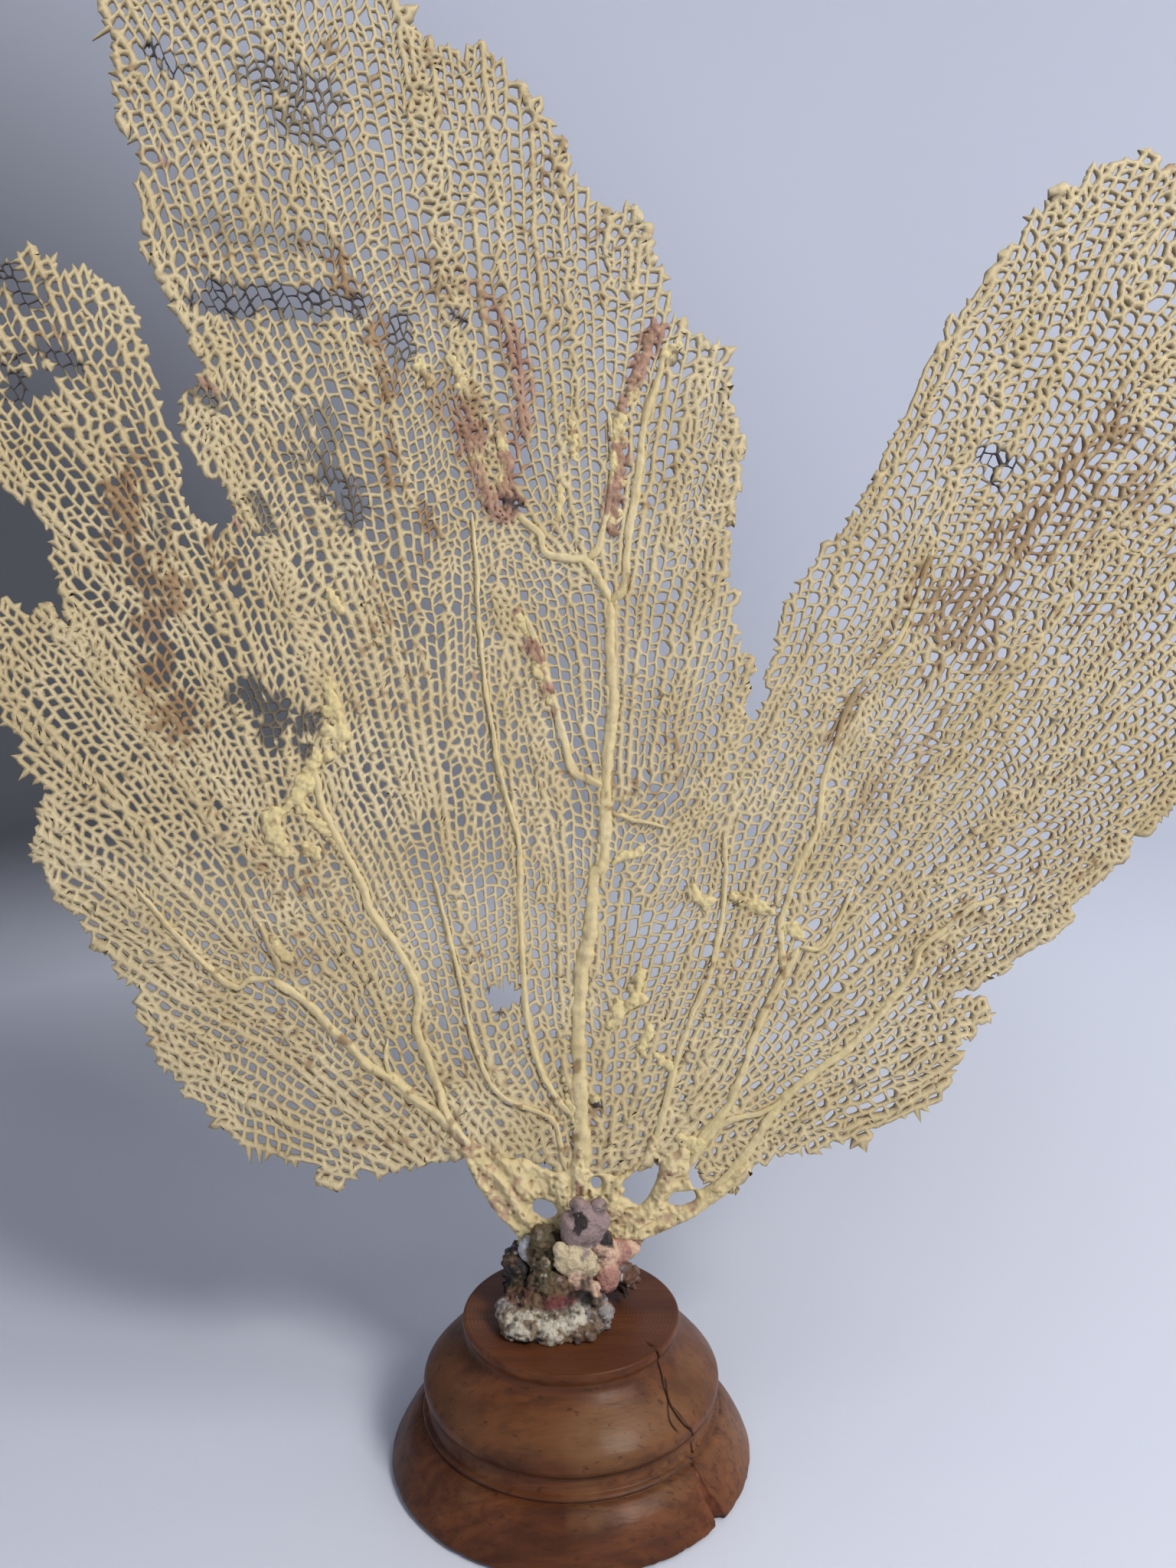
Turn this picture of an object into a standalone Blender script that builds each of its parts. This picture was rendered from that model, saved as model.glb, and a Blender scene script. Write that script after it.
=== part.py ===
"""A dried sea fan on a turned wooden plinth.

The fan is a branching, openwork sheet of coral, grown from a crusted holdfast.
"""

import math
import random

import bmesh
import bpy
import numpy as np
from mathutils import Matrix, Vector
from mathutils.geometry import delaunay_2d_cdt

MM = 0.001
GAP = 0.3 * MM  # clearance between neighbouring solids

# Wooden plinth
PLINTH_HEIGHT = 49 * MM
TOP_RADIUS = 36.6 * MM
WAIST_RADIUS = 50.2 * MM
FOOT_RADIUS = 61 * MM
PLINTH_STEPS = 32
CRACK_AZIMUTH = math.radians(-47)  # the split in the wood, seen at the front right
CRACK_CUT = (7 * MM, 0.9 * MM, 42 * MM)  # deep, wide and tall
CRACK_PLACE = (TOP_RADIUS + 7.5 * MM, 37 * MM)  # out from the axis, up from the underside
CRACK_TILT = math.radians(12)
CHIP_CUT = (9 * MM, 7 * MM, 15 * MM)
CHIP_PLACE = (FOOT_RADIUS + 0.6 * MM, 7.5 * MM)
CHIP_TILT = math.radians(24)

# The sheet of the fan, drawn flat in its own plane: u to the right, v up from the plinth's top
LEAN = math.radians(7)  # the fan leans back
VIEWPOINT = Vector((5.7, -376, 275)) * MM  # the drawing holds from here, so bowing keeps the outline
HUB = (0, 30)  # where the veins of the net run together, in mm
LEFT_BOW = 15  # mm that the sheet comes forward at its left side
LEFT_SPAN = 170  # mm
RIGHT_BOW = 5
RIGHT_SPAN = 200
RIPPLE = 3.5  # mm
BOW_FOOT = 40  # mm up, below which the sheet is flat
BOW_RISE = 120  # mm in which the bow sets in

# The net
CELL_WIDTH = 19.0  # mm, across the veins
CELL_LENGTH = 25.0  # mm, along the veins
JITTER = 0.16  # share of a cell
RIB_PITCH = 0.8 * CELL_LENGTH  # between the cells beside a rib
FROM_OTHER_RIBS = 0.42 * CELL_WIDTH
FROM_PAIRS = 0.8 * CELL_WIDTH
BETWEEN_PAIRS = 0.62 * CELL_WIDTH
FIRST_RING = 24.0  # mm from the hub
CLOSE_RINGS = 60.0  # mm from the hub, inside which the rings of cells stand closer
CLOSE_PITCH = 0.7 * CELL_LENGTH
RING_PITCH = 0.875 * CELL_LENGTH
LAST_RING = 560
WIDEST_ANGLE = math.radians(125)  # from straight up
RIB_REACH = 5.5  # mm, how near a knot of the net is pulled onto a rib
CORNER_REACH = 0.45 * CELL_WIDTH  # how near a knot is pulled onto a corner of the outline

# Its strands
BAR = 3.0  # mm, thickness of an ordinary strand
THICKEST = 9.0  # mm, thickness that a weight of 1 stands for
ON_RIB = 1.5  # mm, a knot nearer to a rib than this is part of it
MARGIN = 0.5 * BAR + 2 * GAP / MM  # mm, from a drawn outline to the middle of the strand beside it
SEAM_REACH = 2.5 * MARGIN  # strands nearer to a neighbouring branch than this stay thin
WELD = 2.2 * MM  # knots nearer to each other than this become one
SLIVER_AREA = 30 * MM * MM
SHARPEST = math.radians(14)  # a cell with a sharper corner than this is folded
FOLD = 25 * MM * MM
SHARP_CORNER = 0.8  # limits how far a sharp corner of an outline moves when it is drawn inward
SEED = 7

# Outlines in mm, each run read once and shared by the branches on both sides of it
LOWER_LEFT_EDGE = [
    (-194, 240), (-206, 229), (-210, 216), (-202, 203), (-184, 184), (-175, 174), (-182, 157),
    (-166, 135), (-145, 107), (-147, 100), (-133, 80), (-117, 62), (-99, 52), (-86, 43),
    (-62, 47), (-38, 54),
]
LEFT_NOTCH_EDGE = [(-164, 225), (-168, 225), (-179, 238), (-186, 233), (-194, 240)]
FINGER_EDGE = [
    (-164, 225), (-173, 247), (-170, 255), (-183, 274), (-194, 288), (-205, 304), (-210, 325),
    (-205, 343), (-194, 355), (-187, 361), (-179, 356), (-170, 348), (-166, 354), (-154, 347),
    (-148, 332), (-139, 305), (-134, 279), (-120, 261),
]
FINGER_FOOT = [(-120, 261), (-128, 238), (-144, 226), (-164, 225)]
CENTRE_LEFT_EDGE = [
    (-112, 271), (-124, 287), (-133, 302), (-122, 318), (-130, 334), (-143, 358), (-147, 379),
    (-141, 391), (-155, 412), (-152, 430), (-158, 445), (-155, 463), (-142, 476), (-121, 488),
    (-98, 490), (-80, 484), (-67, 468), (-59, 445),
]
CENTRE_RIGHT_EDGE = [
    (-59, 445), (-51, 430), (-33, 430), (-22, 416), (-10, 409), (-2, 392), (4, 376), (19, 374),
    (26, 362), (32, 336), (51, 322), (58, 293), (52, 266), (55, 237), (60, 221), (58, 198),
    (53, 161),
]
RIGHT_EDGE = [
    (53, 161), (58, 192), (65, 201), (71, 226), (79, 248), (93, 263), (105, 284), (113, 304),
    (124, 324), (145, 352), (165, 376), (187, 390), (206, 387), (225, 375), (238, 346),
    (244, 310), (243, 268), (235, 229), (222, 198), (212, 185),
]
LOWER_RIGHT_EDGE = [
    (212, 185), (190, 161), (180, 146), (163, 135), (170, 135), (158, 126), (146, 116),
    (128, 104), (143, 104), (130, 90), (124, 73), (107, 63), (82, 56), (62, 51), (53, 39),
]
LEFT_SEAM = [
    (-28, 60), (-24, 86), (-31, 120), (-39, 154), (-48, 185), (-59, 216), (-72, 239), (-90, 252),
    (-112, 271),
]
MIDDLE_SEAM = [(53, 161), (60, 135), (53, 107), (44, 81), (35, 55)]
RIGHT_SEAM = [(44, 55), (62, 74), (79, 99), (95, 118), (118, 138), (144, 156), (175, 172), (212, 185)]
SEAMS = [LEFT_SEAM, MIDDLE_SEAM, RIGHT_SEAM, FINGER_FOOT]
ROOT_CROWN = [(53, 39), (44, 55), (35, 55), (14, 52), (4, 49), (-7, 53), (-15, 57), (-28, 60), (-38, 54)]
ROOT_FLANKS = [(-35, 46), (-31, 39), (-25, 32), (-20, 26), (-15, 17), (22, 17), (25, 25), (42, 32)]
ROOT_OUTLINE = ROOT_CROWN + ROOT_FLANKS

# Ribs: points in mm, then the thickness in mm at their two ends
RIBS = {
    "centre_branch": [
        ([(4, 50), (3, 90), (7, 128), (11, 152), (13, 197), (13, 240)], 7.0, 5.0),
        ([(13, 240), (5, 254), (-9, 257), (-19, 270)], 4.6, 3.4),
        ([(5, 254), (12, 266), (13, 277), (14, 299)], 3.6, 3.0),
        ([(13, 240), (20, 266), (23, 289), (30, 315), (34, 328)], 4.8, 4.2),
        ([(11, 177), (1, 183), (-5, 203), (-11, 225), (-16, 236)], 4.2, 3.4),
        ([(0, 58), (-10, 81), (-16, 105), (-17, 140), (-22, 175), (-27, 197), (-31, 271)], 4.4, 3.0),
        ([(30, 60), (34, 79), (43, 105), (51, 132), (52, 150)], 4.6, 3.4),
    ],
    "left_branch": [
        ([(-33, 58), (-43, 67), (-49, 87), (-60, 124), (-72, 146), (-85, 169), (-87, 190)], 5.0, 4.0),
        ([(-38, 58), (-53, 72), (-69, 83), (-95, 109), (-109, 112), (-147, 143)], 5.4, 3.2),
    ],
    "right_branch": [
        ([(42, 60), (51, 67), (62, 92), (72, 114), (77, 151), (86, 180), (111, 227), (123, 259)], 5.2, 3.2),
    ],
    "lower_right_branch": [
        ([(50, 48), (65, 61), (74, 73), (92, 87), (111, 109), (126, 129), (145, 140)], 5.2, 3.2),
    ],
}

# Lumpy growths that swell the net: centre and radius in mm, then the thickness there in mm
CRUSTS = {
    "left_branch": [(-80, 204, 10, 8.0), (-88, 186, 10, 8.5), (-97, 166, 11, 8.5)],
    "centre_branch": [(20, 104, 9, 5.5)],
}

# Holes through the membrane at the root: centre, half width, half height in mm and slant in degrees
ROOT_HOLES = [(-9, 33, 4.2, 2.8, 10), (23.5, 44, 3.6, 8.5, -32), (37.5, 38, 4.4, 2.6, 38)]
HOLE_SIDES = 10
WEB_THICKNESS = 7.0  # mm
ROOT_RIBS = [
    ([(3, 20), (4, 35), (4, 48.5)], 5.6, 4.4),
    ([(-6, 20), (-18, 37), (-31, 52)], 4.6, 3.4),
    ([(9, 22), (24, 34), (39, 51)], 4.4, 3.4),
    ([(14, 22), (32, 31), (49, 41)], 4.0, 3.2),
]

# Holdfast lumps: centre and radii in mm
STONE_WAVES = 7
STONE_RIPPLE = 4.2
STONE_ROUGHNESS = 0.055
LUMPS = [
    ((-6, -16, 55), (17, 11, 8)),
    ((0, -4, 60), (16, 12, 13)),
    ((15, 8, 55), (9, 8, 7)),
    ((-16, 5, 60), (9, 9, 12)),
    ((4, -6, 78), (8, 6, 9)),
    ((15, 1, 67), (11, 7, 9)),
    ((-9, -4, 70), (7, 7, 10)),
]

COLOURS = {
    "wood": ((0.19, 0.075, 0.035), 0.38),
    "rock": ((0.24, 0.19, 0.16), 0.85),
    "coral": ((0.75, 0.63, 0.36), 0.75),
}


def clear_scene():
    for obj in list(bpy.data.objects):
        bpy.data.objects.remove(obj, do_unlink=True)


def collection(name):
    made = bpy.data.collections.new(name)
    bpy.context.scene.collection.children.link(made)
    return made


def material(name):
    colour, roughness = COLOURS[name]
    made = bpy.data.materials.new(name)
    made.use_nodes = True
    shader = made.node_tree.nodes["Principled BSDF"]
    shader.inputs["Base Color"].default_value = (*colour, 1)
    shader.inputs["Roughness"].default_value = roughness
    shader.inputs["Metallic"].default_value = 0
    made.diffuse_color = (*colour, 1)
    return made


def add_object(name, mesh, place, look=None):
    obj = bpy.data.objects.new(name, mesh)
    place.objects.link(obj)
    if look:
        obj.data.materials.append(look)
    return obj


def make_cutter(obj):
    obj.hide_render = True
    obj.display_type = "WIRE"


def as_mesh(obj):
    """The object's evaluated shape as a mesh object of the same name, with welded caps."""
    graph = bpy.context.evaluated_depsgraph_get()
    mesh = bpy.data.meshes.new_from_object(obj.evaluated_get(graph))
    form = bmesh.new()
    form.from_mesh(mesh)
    bmesh.ops.remove_doubles(form, verts=form.verts, dist=0.01 * MM)
    bmesh.ops.recalc_face_normals(form, faces=form.faces)
    form.to_mesh(mesh)
    form.free()
    name, place, matrix = obj.name, obj.users_collection[0], obj.matrix_world.copy()
    bpy.data.objects.remove(obj, do_unlink=True)
    made = add_object(name, mesh, place)
    made.matrix_world = matrix
    return made


def join_solids(whole, pieces):
    """Boolean union of the pieces into whole, which keeps its name."""
    for piece in pieces:
        union = whole.modifiers.new("join", "BOOLEAN")
        union.operation = "UNION"
        union.object = piece
    bpy.context.view_layer.update()
    made = as_mesh(whole)
    for piece in pieces:
        bpy.data.objects.remove(piece, do_unlink=True)
    return made


def smooth_run(points, steps):
    """Points on a smooth curve through the given ones, with steps pieces between neighbours."""
    ends = [points[0], *points, points[-1]]
    found = []
    for before, start, stop, after in zip(ends, ends[1:], ends[2:], ends[3:]):
        p0, p1, p2, p3 = (np.array(p, float) for p in (before, start, stop, after))
        for t in np.linspace(0, 1, steps, endpoint=False):
            bend = (2 * p0 - 5 * p1 + 4 * p2 - p3) * t * t + (3 * p1 - p0 - 3 * p2 + p3) * t**3
            found.append(tuple(0.5 * (2 * p1 + (p2 - p0) * t + bend)))
    return found + [tuple(points[-1])]


def bow(u, v):
    """How far the sheet stands behind its flat drawing, in mm: the left side bows forward, the rest ripples."""
    left = max(0.0, -u) / LEFT_SPAN
    right = max(0.0, u) / RIGHT_SPAN
    ripple = RIPPLE * math.sin(u / 52 + 0.6) * math.sin(v / 95 - 0.4)
    bowed = ripple - LEFT_BOW * left**2 - RIGHT_BOW * right**2
    return bowed * min(1, max(0, (v - BOW_FOOT) / BOW_RISE))


def on_sheet(u, v):
    """The place in metres of the point of the drawing at u, v mm."""
    flat = Vector((u * MM, v * MM * math.sin(LEAN), PLINTH_HEIGHT + v * MM * math.cos(LEAN)))
    sight = flat - VIEWPOINT
    return VIEWPOINT + sight * (1 + bow(u, v) * MM / sight.length)


def box(name, size, place):
    form = bmesh.new()
    bmesh.ops.create_cube(form, size=1)
    bmesh.ops.scale(form, vec=size, verts=form.verts)
    mesh = bpy.data.meshes.new(name)
    form.to_mesh(mesh)
    form.free()
    return add_object(name, mesh, place)


def plinth_profile():
    """The turned outline at +X, from the top's centre down to the underside's."""
    top, waist, foot = TOP_RADIUS, WAIST_RADIUS, FOOT_RADIUS
    shoulder = [
        (top - 0.9 * MM, 44.8 * MM),
        (top + 2.4 * MM, 39.5 * MM),
        (waist - 5.2 * MM, 34.5 * MM),
        (waist - 0.6 * MM, 29 * MM),
        (waist - 0.4 * MM, 24.6 * MM),
    ]
    skirt = [
        (waist + 1.6 * MM, 15.6 * MM),
        (waist + 5.2 * MM, 11.5 * MM),
        (foot - 1.6 * MM, 5 * MM),
        (foot, 1.4 * MM),
    ]
    return [
        (0, PLINTH_HEIGHT),
        (top - 0.8 * MM, PLINTH_HEIGHT),
        (top, PLINTH_HEIGHT - 0.7 * MM),
        (top, 46 * MM),
        *smooth_run(shoulder, 2),
        (waist - 1.6 * MM, 23.6 * MM),
        (waist - 1.6 * MM, 18.4 * MM),
        (waist, 17.6 * MM),
        (waist - 0.6 * MM, 16.2 * MM),
        *smooth_run(skirt, 2),
        (foot - 1.0 * MM, 0),
        (0, 0),
    ]


def make_plinth(place, cutters):
    mesh = bpy.data.meshes.new("plinth profile")
    profile = plinth_profile()
    mesh.from_pydata([(r, 0, z) for r, z in profile], [(i, i + 1) for i in range(len(profile) - 1)], [])
    plinth = add_object("wooden_plinth", mesh, place, material("wood"))
    turn = plinth.modifiers.new("turn", "SCREW")
    turn.steps = turn.render_steps = PLINTH_STEPS
    turn.use_merge_vertices = True
    turn.merge_threshold = 0.0001
    for name, size, (reach, height), tilt in (
        ("crack cutter", CRACK_CUT, CRACK_PLACE, CRACK_TILT),
        ("chip cutter", CHIP_CUT, CHIP_PLACE, CHIP_TILT),
    ):
        cutter = box(name, size, cutters)
        outward = Matrix.Rotation(CRACK_AZIMUTH, 4, "Z") @ Matrix.Translation((reach, 0, height))
        cutter.matrix_world = outward @ Matrix.Rotation(-tilt, 4, "Y")
        make_cutter(cutter)
        cut_with(plinth, cutter)
    return plinth


def lump(name, centre, radii, place, rng):
    """One rough, rounded stone."""
    form = bmesh.new()
    bmesh.ops.create_icosphere(form, subdivisions=2, radius=1)
    waves = []
    for _ in range(STONE_WAVES):
        way = Vector((rng.uniform(-1, 1) for _ in range(3))).normalized()
        waves.append((way, rng.uniform(0, 2 * math.pi)))
    for vert in form.verts:
        swell = sum(math.sin(STONE_RIPPLE * vert.co.dot(way) + start) for way, start in waves)
        vert.co *= 1 + STONE_ROUGHNESS * swell
        vert.co = Vector(c * r * MM for c, r in zip(vert.co, radii)) + Vector(centre) * MM
    mesh = bpy.data.meshes.new(name)
    form.to_mesh(mesh)
    form.free()
    return add_object(name, mesh, place)


def inside(point, loop):
    u, v = point
    hit = False
    for (u0, v0), (u1, v1) in zip(loop, loop[1:] + loop[:1]):
        if (v0 > v) != (v1 > v) and u < (u1 - u0) * (v - v0) / (v1 - v0) + u0:
            hit = not hit
    return hit


def nearest_on(point, run, closed=False):
    """(distance, nearest point, share of the way along) on a run of points."""
    p = np.array(point, float)
    a = np.array(run, float)
    b = np.roll(a, -1, axis=0) if closed else a[1:]
    a = a if closed else a[:-1]
    span = b - a
    share = np.clip(((p - a) * span).sum(1) / np.maximum((span**2).sum(1), 1e-9), 0, 1)
    spots = a + span * share[:, None]
    gaps = np.hypot(*(p - spots).T)
    at = int(gaps.argmin())
    return float(gaps[at]), spots[at], (at + share[at]) / len(a)


def drawn_inward(loop, by):
    """The closed outline moved inward by a distance in mm, corner by corner."""
    points = np.array(loop, float)
    ahead = np.roll(points, -1, axis=0) - points
    ahead /= np.hypot(*ahead.T)[:, None]
    behind = np.roll(ahead, 1, axis=0)
    area = (points[:, 0] * np.roll(points[:, 1], -1) - np.roll(points[:, 0], -1) * points[:, 1]).sum()
    side = 1 if area > 0 else -1
    left = side * np.stack([-ahead[:, 1] - behind[:, 1], ahead[:, 0] + behind[:, 0]], 1)
    size = np.maximum(np.hypot(*left.T), SHARP_CORNER)[:, None]
    return [tuple(p) for p in points + left / size * by * (2 / size)]


def net_seeds():
    """One point in the middle of each opening: in pairs along the ribs, in staggered rings elsewhere."""
    rng = random.Random(SEED)
    seeds = []
    ribs = [rib for branch in RIBS.values() for rib, _, _ in branch]

    def clear(point, reach):
        return all(math.dist(point, other) > reach for other in seeds)

    for rib in ribs:
        run = np.array(smooth_run(rib, 6))
        along = np.concatenate([[0], np.cumsum(np.hypot(*np.diff(run, axis=0).T))])
        for at in np.arange(0.3 * CELL_LENGTH, along[-1], RIB_PITCH):
            spot = np.array([np.interp(at, along, run[:, k]) for k in (0, 1)])
            ahead = np.array([np.interp(at + 2, along, run[:, k]) for k in (0, 1)]) - spot
            ahead /= max(np.hypot(*ahead), 1e-6)
            for side in (-1, 1):
                seed = tuple(spot + side * 0.5 * CELL_WIDTH * np.array([-ahead[1], ahead[0]]))
                free = all(nearest_on(seed, other)[0] > FROM_OTHER_RIBS for other in ribs)
                if free and clear(seed, BETWEEN_PAIRS):
                    seeds.append(seed)
    paired = list(seeds)
    radius, row = FIRST_RING, 0
    while radius < LAST_RING:
        count = max(8, round(2 * math.pi * radius / CELL_WIDTH))
        for k in range(count):
            angle = 2 * math.pi * (k + 0.5 * (row % 2)) / count
            reach = radius + rng.uniform(-JITTER, JITTER) * CELL_LENGTH
            angle += rng.uniform(-JITTER, JITTER) * CELL_WIDTH / radius
            seed = (HUB[0] + reach * math.sin(angle), HUB[1] + reach * math.cos(angle))
            if min(angle, 2 * math.pi - angle) > WIDEST_ANGLE:
                continue
            if all(math.dist(seed, other) > FROM_PAIRS for other in paired):
                seeds.append(seed)
        radius += RING_PITCH if radius > CLOSE_RINGS else CLOSE_PITCH
        row += 1
    return seeds


def net_cells(seeds):
    """(knots, cells): each cell is the ring of knots round one seed."""
    corners, _, triangles, _, _, _ = delaunay_2d_cdt([Vector(s) for s in seeds], [], [], 0, 1e-6)
    knots = [sum((corners[i] for i in tri), Vector((0, 0))) / 3 for tri in triangles]
    round_seed = {}
    for number, tri in enumerate(triangles):
        for i in tri:
            round_seed.setdefault(i, []).append(number)
    cells = []
    for i, ring in round_seed.items():
        middle = corners[i]
        ring.sort(key=lambda n: math.atan2(knots[n].y - middle.y, knots[n].x - middle.x))
        cells.append((tuple(middle), ring))
    return knots, cells


def folded(face):
    """Whether pulling the knots to the outline has turned a corner of the cell back on itself."""
    spots = [v.co for v in face.verts]
    for before, at, after in zip(spots[-1:] + spots[:-1], spots, spots[1:] + spots[:1]):
        sharp = (before - at).angle(after - at) < SHARPEST
        if sharp or (at - before).cross(after - at).dot(face.normal) < -FOLD:
            return True
    return False


def drop_weak_cells(form):
    """Remove slivers and folded cells, and cells that hang on the rest by a single knot."""
    form.normal_update()
    slivers = [face for face in form.faces if face.calc_area() < SLIVER_AREA or folded(face)]
    bmesh.ops.delete(form, geom=slivers, context="FACES")
    while True:
        knots = [v for v in form.verts if sum(edge.is_boundary for edge in v.link_edges) > 2]
        crowded = [edge.verts[0] for edge in form.edges if len(edge.link_faces) > 2]
        weak = {min(v.link_faces, key=lambda face: face.calc_area()) for v in knots + crowded}
        if not weak:
            return
        bmesh.ops.delete(form, geom=list(weak), context="FACES")


def thickness_at(point, ribs, crusts):
    thickness = BAR
    for rib, start, stop in ribs:
        gap, _, share = nearest_on(point, rib)
        if gap < ON_RIB:
            thickness = max(thickness, start + (stop - start) * share)
    for u, v, reach, swell in crusts:
        if math.dist(point, (u, v)) < reach:
            thickness = max(thickness, swell)
    return thickness


def pull_to_ribs(spots, ribs):
    for n, spot in spots.items():
        for rib, _, _ in ribs:
            gap, on_rib, _ = nearest_on(spot, rib)
            if gap < RIB_REACH:
                spots[n] = on_rib


def pull_to_rim(spots, rings, rim):
    """Move the knots round the outside of the cells onto the rim, and one onto each of its corners."""
    uses = {}
    for ring in rings:
        for a, b in zip(ring, ring[1:] + ring[:1]):
            uses[frozenset((a, b))] = uses.get(frozenset((a, b)), 0) + 1
    border = {n for edge, count in uses.items() if count == 1 for n in edge}
    for n in border:
        gap, on_rim, _ = nearest_on(spots[n], rim, closed=True)
        if gap < CELL_WIDTH:
            spots[n] = on_rim
    for corner in rim:
        n = min(border, key=lambda k: math.dist(spots[k], corner))
        if math.dist(spots[n], corner) < CORNER_REACH:
            spots[n] = np.array(corner)


def clean_cells(mesh):
    form = bmesh.new()
    form.from_mesh(mesh)
    bmesh.ops.remove_doubles(form, verts=form.verts, dist=WELD)
    drop_weak_cells(form)
    bmesh.ops.recalc_face_normals(form, faces=form.faces)
    form.to_mesh(mesh)
    form.free()


def make_branch(name, outline, net, place, look):
    """One branch of the fan: the cells of the net inside its outline, thickened to strands and ribs."""
    knots, cells = net
    ribs, crusts = RIBS.get(name, []), CRUSTS.get(name, [])
    kept = [ring for middle, ring in cells if inside(middle, outline)]
    spots = {n: np.array(knots[n]) for ring in kept for n in ring}
    pull_to_ribs(spots, ribs)
    pull_to_rim(spots, kept, drawn_inward(outline, MARGIN))
    order = {n: k for k, n in enumerate(sorted(spots))}
    mesh = bpy.data.meshes.new(name)
    mesh.from_pydata([on_sheet(*spots[n]) for n in order], [], [[order[n] for n in ring] for ring in kept])
    branch = add_object(name, mesh, place, look)
    strands = branch.vertex_groups.new(name="thickness")
    for n, k in order.items():
        at_seam = min(nearest_on(spots[n], seam)[0] for seam in SEAMS) < SEAM_REACH
        thickness = BAR if at_seam else thickness_at(spots[n], ribs, crusts)
        strands.add([k], thickness / THICKEST, "REPLACE")
    clean_cells(mesh)
    bars = branch.modifiers.new("strands", "WIREFRAME")
    bars.thickness = THICKEST * MM
    bars.use_even_offset = False
    bars.use_boundary = True
    bars.use_replace = True
    bars.vertex_group = strands.name
    return branch


def tube(name, points, start, stop, place):
    """A round, tapering rib that follows the sheet, in mm thick at its ends."""
    curve = bpy.data.curves.new(name, "CURVE")
    curve.dimensions = "3D"
    curve.bevel_depth = 0.5 * MM
    curve.bevel_resolution = 2
    curve.use_fill_caps = True
    run = smooth_run(points, 3)
    spline = curve.splines.new("POLY")
    spline.points.add(len(run) - 1)
    for k, (spot, point) in enumerate(zip(run, spline.points)):
        point.co = (*on_sheet(*spot), 1)
        point.radius = start + (stop - start) * k / (len(run) - 1)
    return add_object(name, curve, place)


def flat_plate(name, loops, thickness, place):
    """The loops of the drawing, outline first, as a plate lying in the fan's leaning plane."""
    curve = bpy.data.curves.new(name, "CURVE")
    curve.dimensions = "2D"
    curve.fill_mode = "BOTH"
    curve.extrude = 0.5 * thickness * MM
    for loop in loops:
        spline = curve.splines.new("POLY")
        spline.use_cyclic_u = True
        spline.points.add(len(loop) - 1)
        for spot, point in zip(loop, spline.points):
            point.co = (spot[0] * MM, spot[1] * MM, 0, 1)
    plate = add_object(name, curve, place)
    upright = Matrix.Rotation(0.5 * math.pi - LEAN, 4, "X")
    plate.matrix_world = Matrix.Translation((0, 0, PLINTH_HEIGHT)) @ upright
    bpy.context.view_layer.update()
    return as_mesh(plate)


def oval(u, v, half_width, half_height, slant):
    turn = math.radians(slant)
    loop = []
    for k in range(HOLE_SIDES):
        at = 2 * math.pi * k / HOLE_SIDES
        across, up = half_width * math.cos(at), half_height * math.sin(at)
        right = across * math.cos(turn) - up * math.sin(turn)
        loop.append((u + right, v + across * math.sin(turn) + up * math.cos(turn)))
    return loop


def make_root(place, look):
    """The thick membrane in which the ribs run together above the holdfast."""
    loops = [drawn_inward(ROOT_OUTLINE, 0.5 * GAP / MM), *(oval(*hole) for hole in ROOT_HOLES)]
    web = flat_plate("root_web", loops, WEB_THICKNESS, place)
    cords = [tube(f"root rib {k}", *rib, place) for k, rib in enumerate(ROOT_RIBS)]
    bpy.context.view_layer.update()
    web = join_solids(web, [as_mesh(cord) for cord in cords])
    web.data.materials.append(look)
    return web


def cut_with(obj, cutter):
    cut = obj.modifiers.new(cutter.name, "BOOLEAN")
    cut.operation = "DIFFERENCE"
    cut.object = cutter


def make_root_slot(cutters):
    """The membrane's own outline grown by the clearance, cut from all that it meets."""
    grown = drawn_inward(ROOT_OUTLINE, -GAP / MM)
    slot = flat_plate("root slot", [grown], WEB_THICKNESS + 4 * GAP / MM, cutters)
    make_cutter(slot)
    return slot


def make_holdfast(place, cutters, slot):
    """The crusted lump that the fan grew on, flat where it meets the plinth, with a slot for the root."""
    rng = random.Random(SEED)
    stones = [lump(f"stone {k}", centre, radii, place, rng) for k, (centre, radii) in enumerate(LUMPS)]
    stones[0].name = "holdfast"
    holdfast = join_solids(stones[0], stones[1:])
    holdfast.data.materials.append(material("rock"))
    cut_with(holdfast, slot)
    side = 2 * FOOT_RADIUS
    level = box("plinth top cutter", (side, side, PLINTH_HEIGHT), cutters)
    level.location.z = 0.5 * PLINTH_HEIGHT + GAP
    make_cutter(level)
    cut_with(holdfast, level)
    return holdfast


def branch_outlines():
    return {
        "left_branch": [*LOWER_LEFT_EDGE, *LEFT_SEAM, *FINGER_FOOT, *LEFT_NOTCH_EDGE[1:-1]],
        "left_finger": [*FINGER_EDGE, *FINGER_FOOT[1:-1]],
        "centre_branch": [
            *LEFT_SEAM[:-1], *CENTRE_LEFT_EDGE, *CENTRE_RIGHT_EDGE[1:], *MIDDLE_SEAM[1:], *ROOT_CROWN[3:7],
        ],
        "right_branch": [*RIGHT_SEAM, *RIGHT_EDGE[-2::-1], *MIDDLE_SEAM[1:]],
        "lower_right_branch": [*RIGHT_SEAM, *LOWER_RIGHT_EDGE[1:]],
    }


def main():
    clear_scene()
    place, cutters = collection("sea fan"), collection("cutters")
    coral = material("coral")
    make_plinth(place, cutters)
    slot = make_root_slot(cutters)
    make_holdfast(place, cutters, slot)
    make_root(place, coral)
    net = net_cells(net_seeds())
    for name, outline in branch_outlines().items():
        branch = make_branch(name, outline, net, place, coral)
        if name != "left_finger":
            cut_with(branch, slot)


main()
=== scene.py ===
import math
import random

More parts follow.
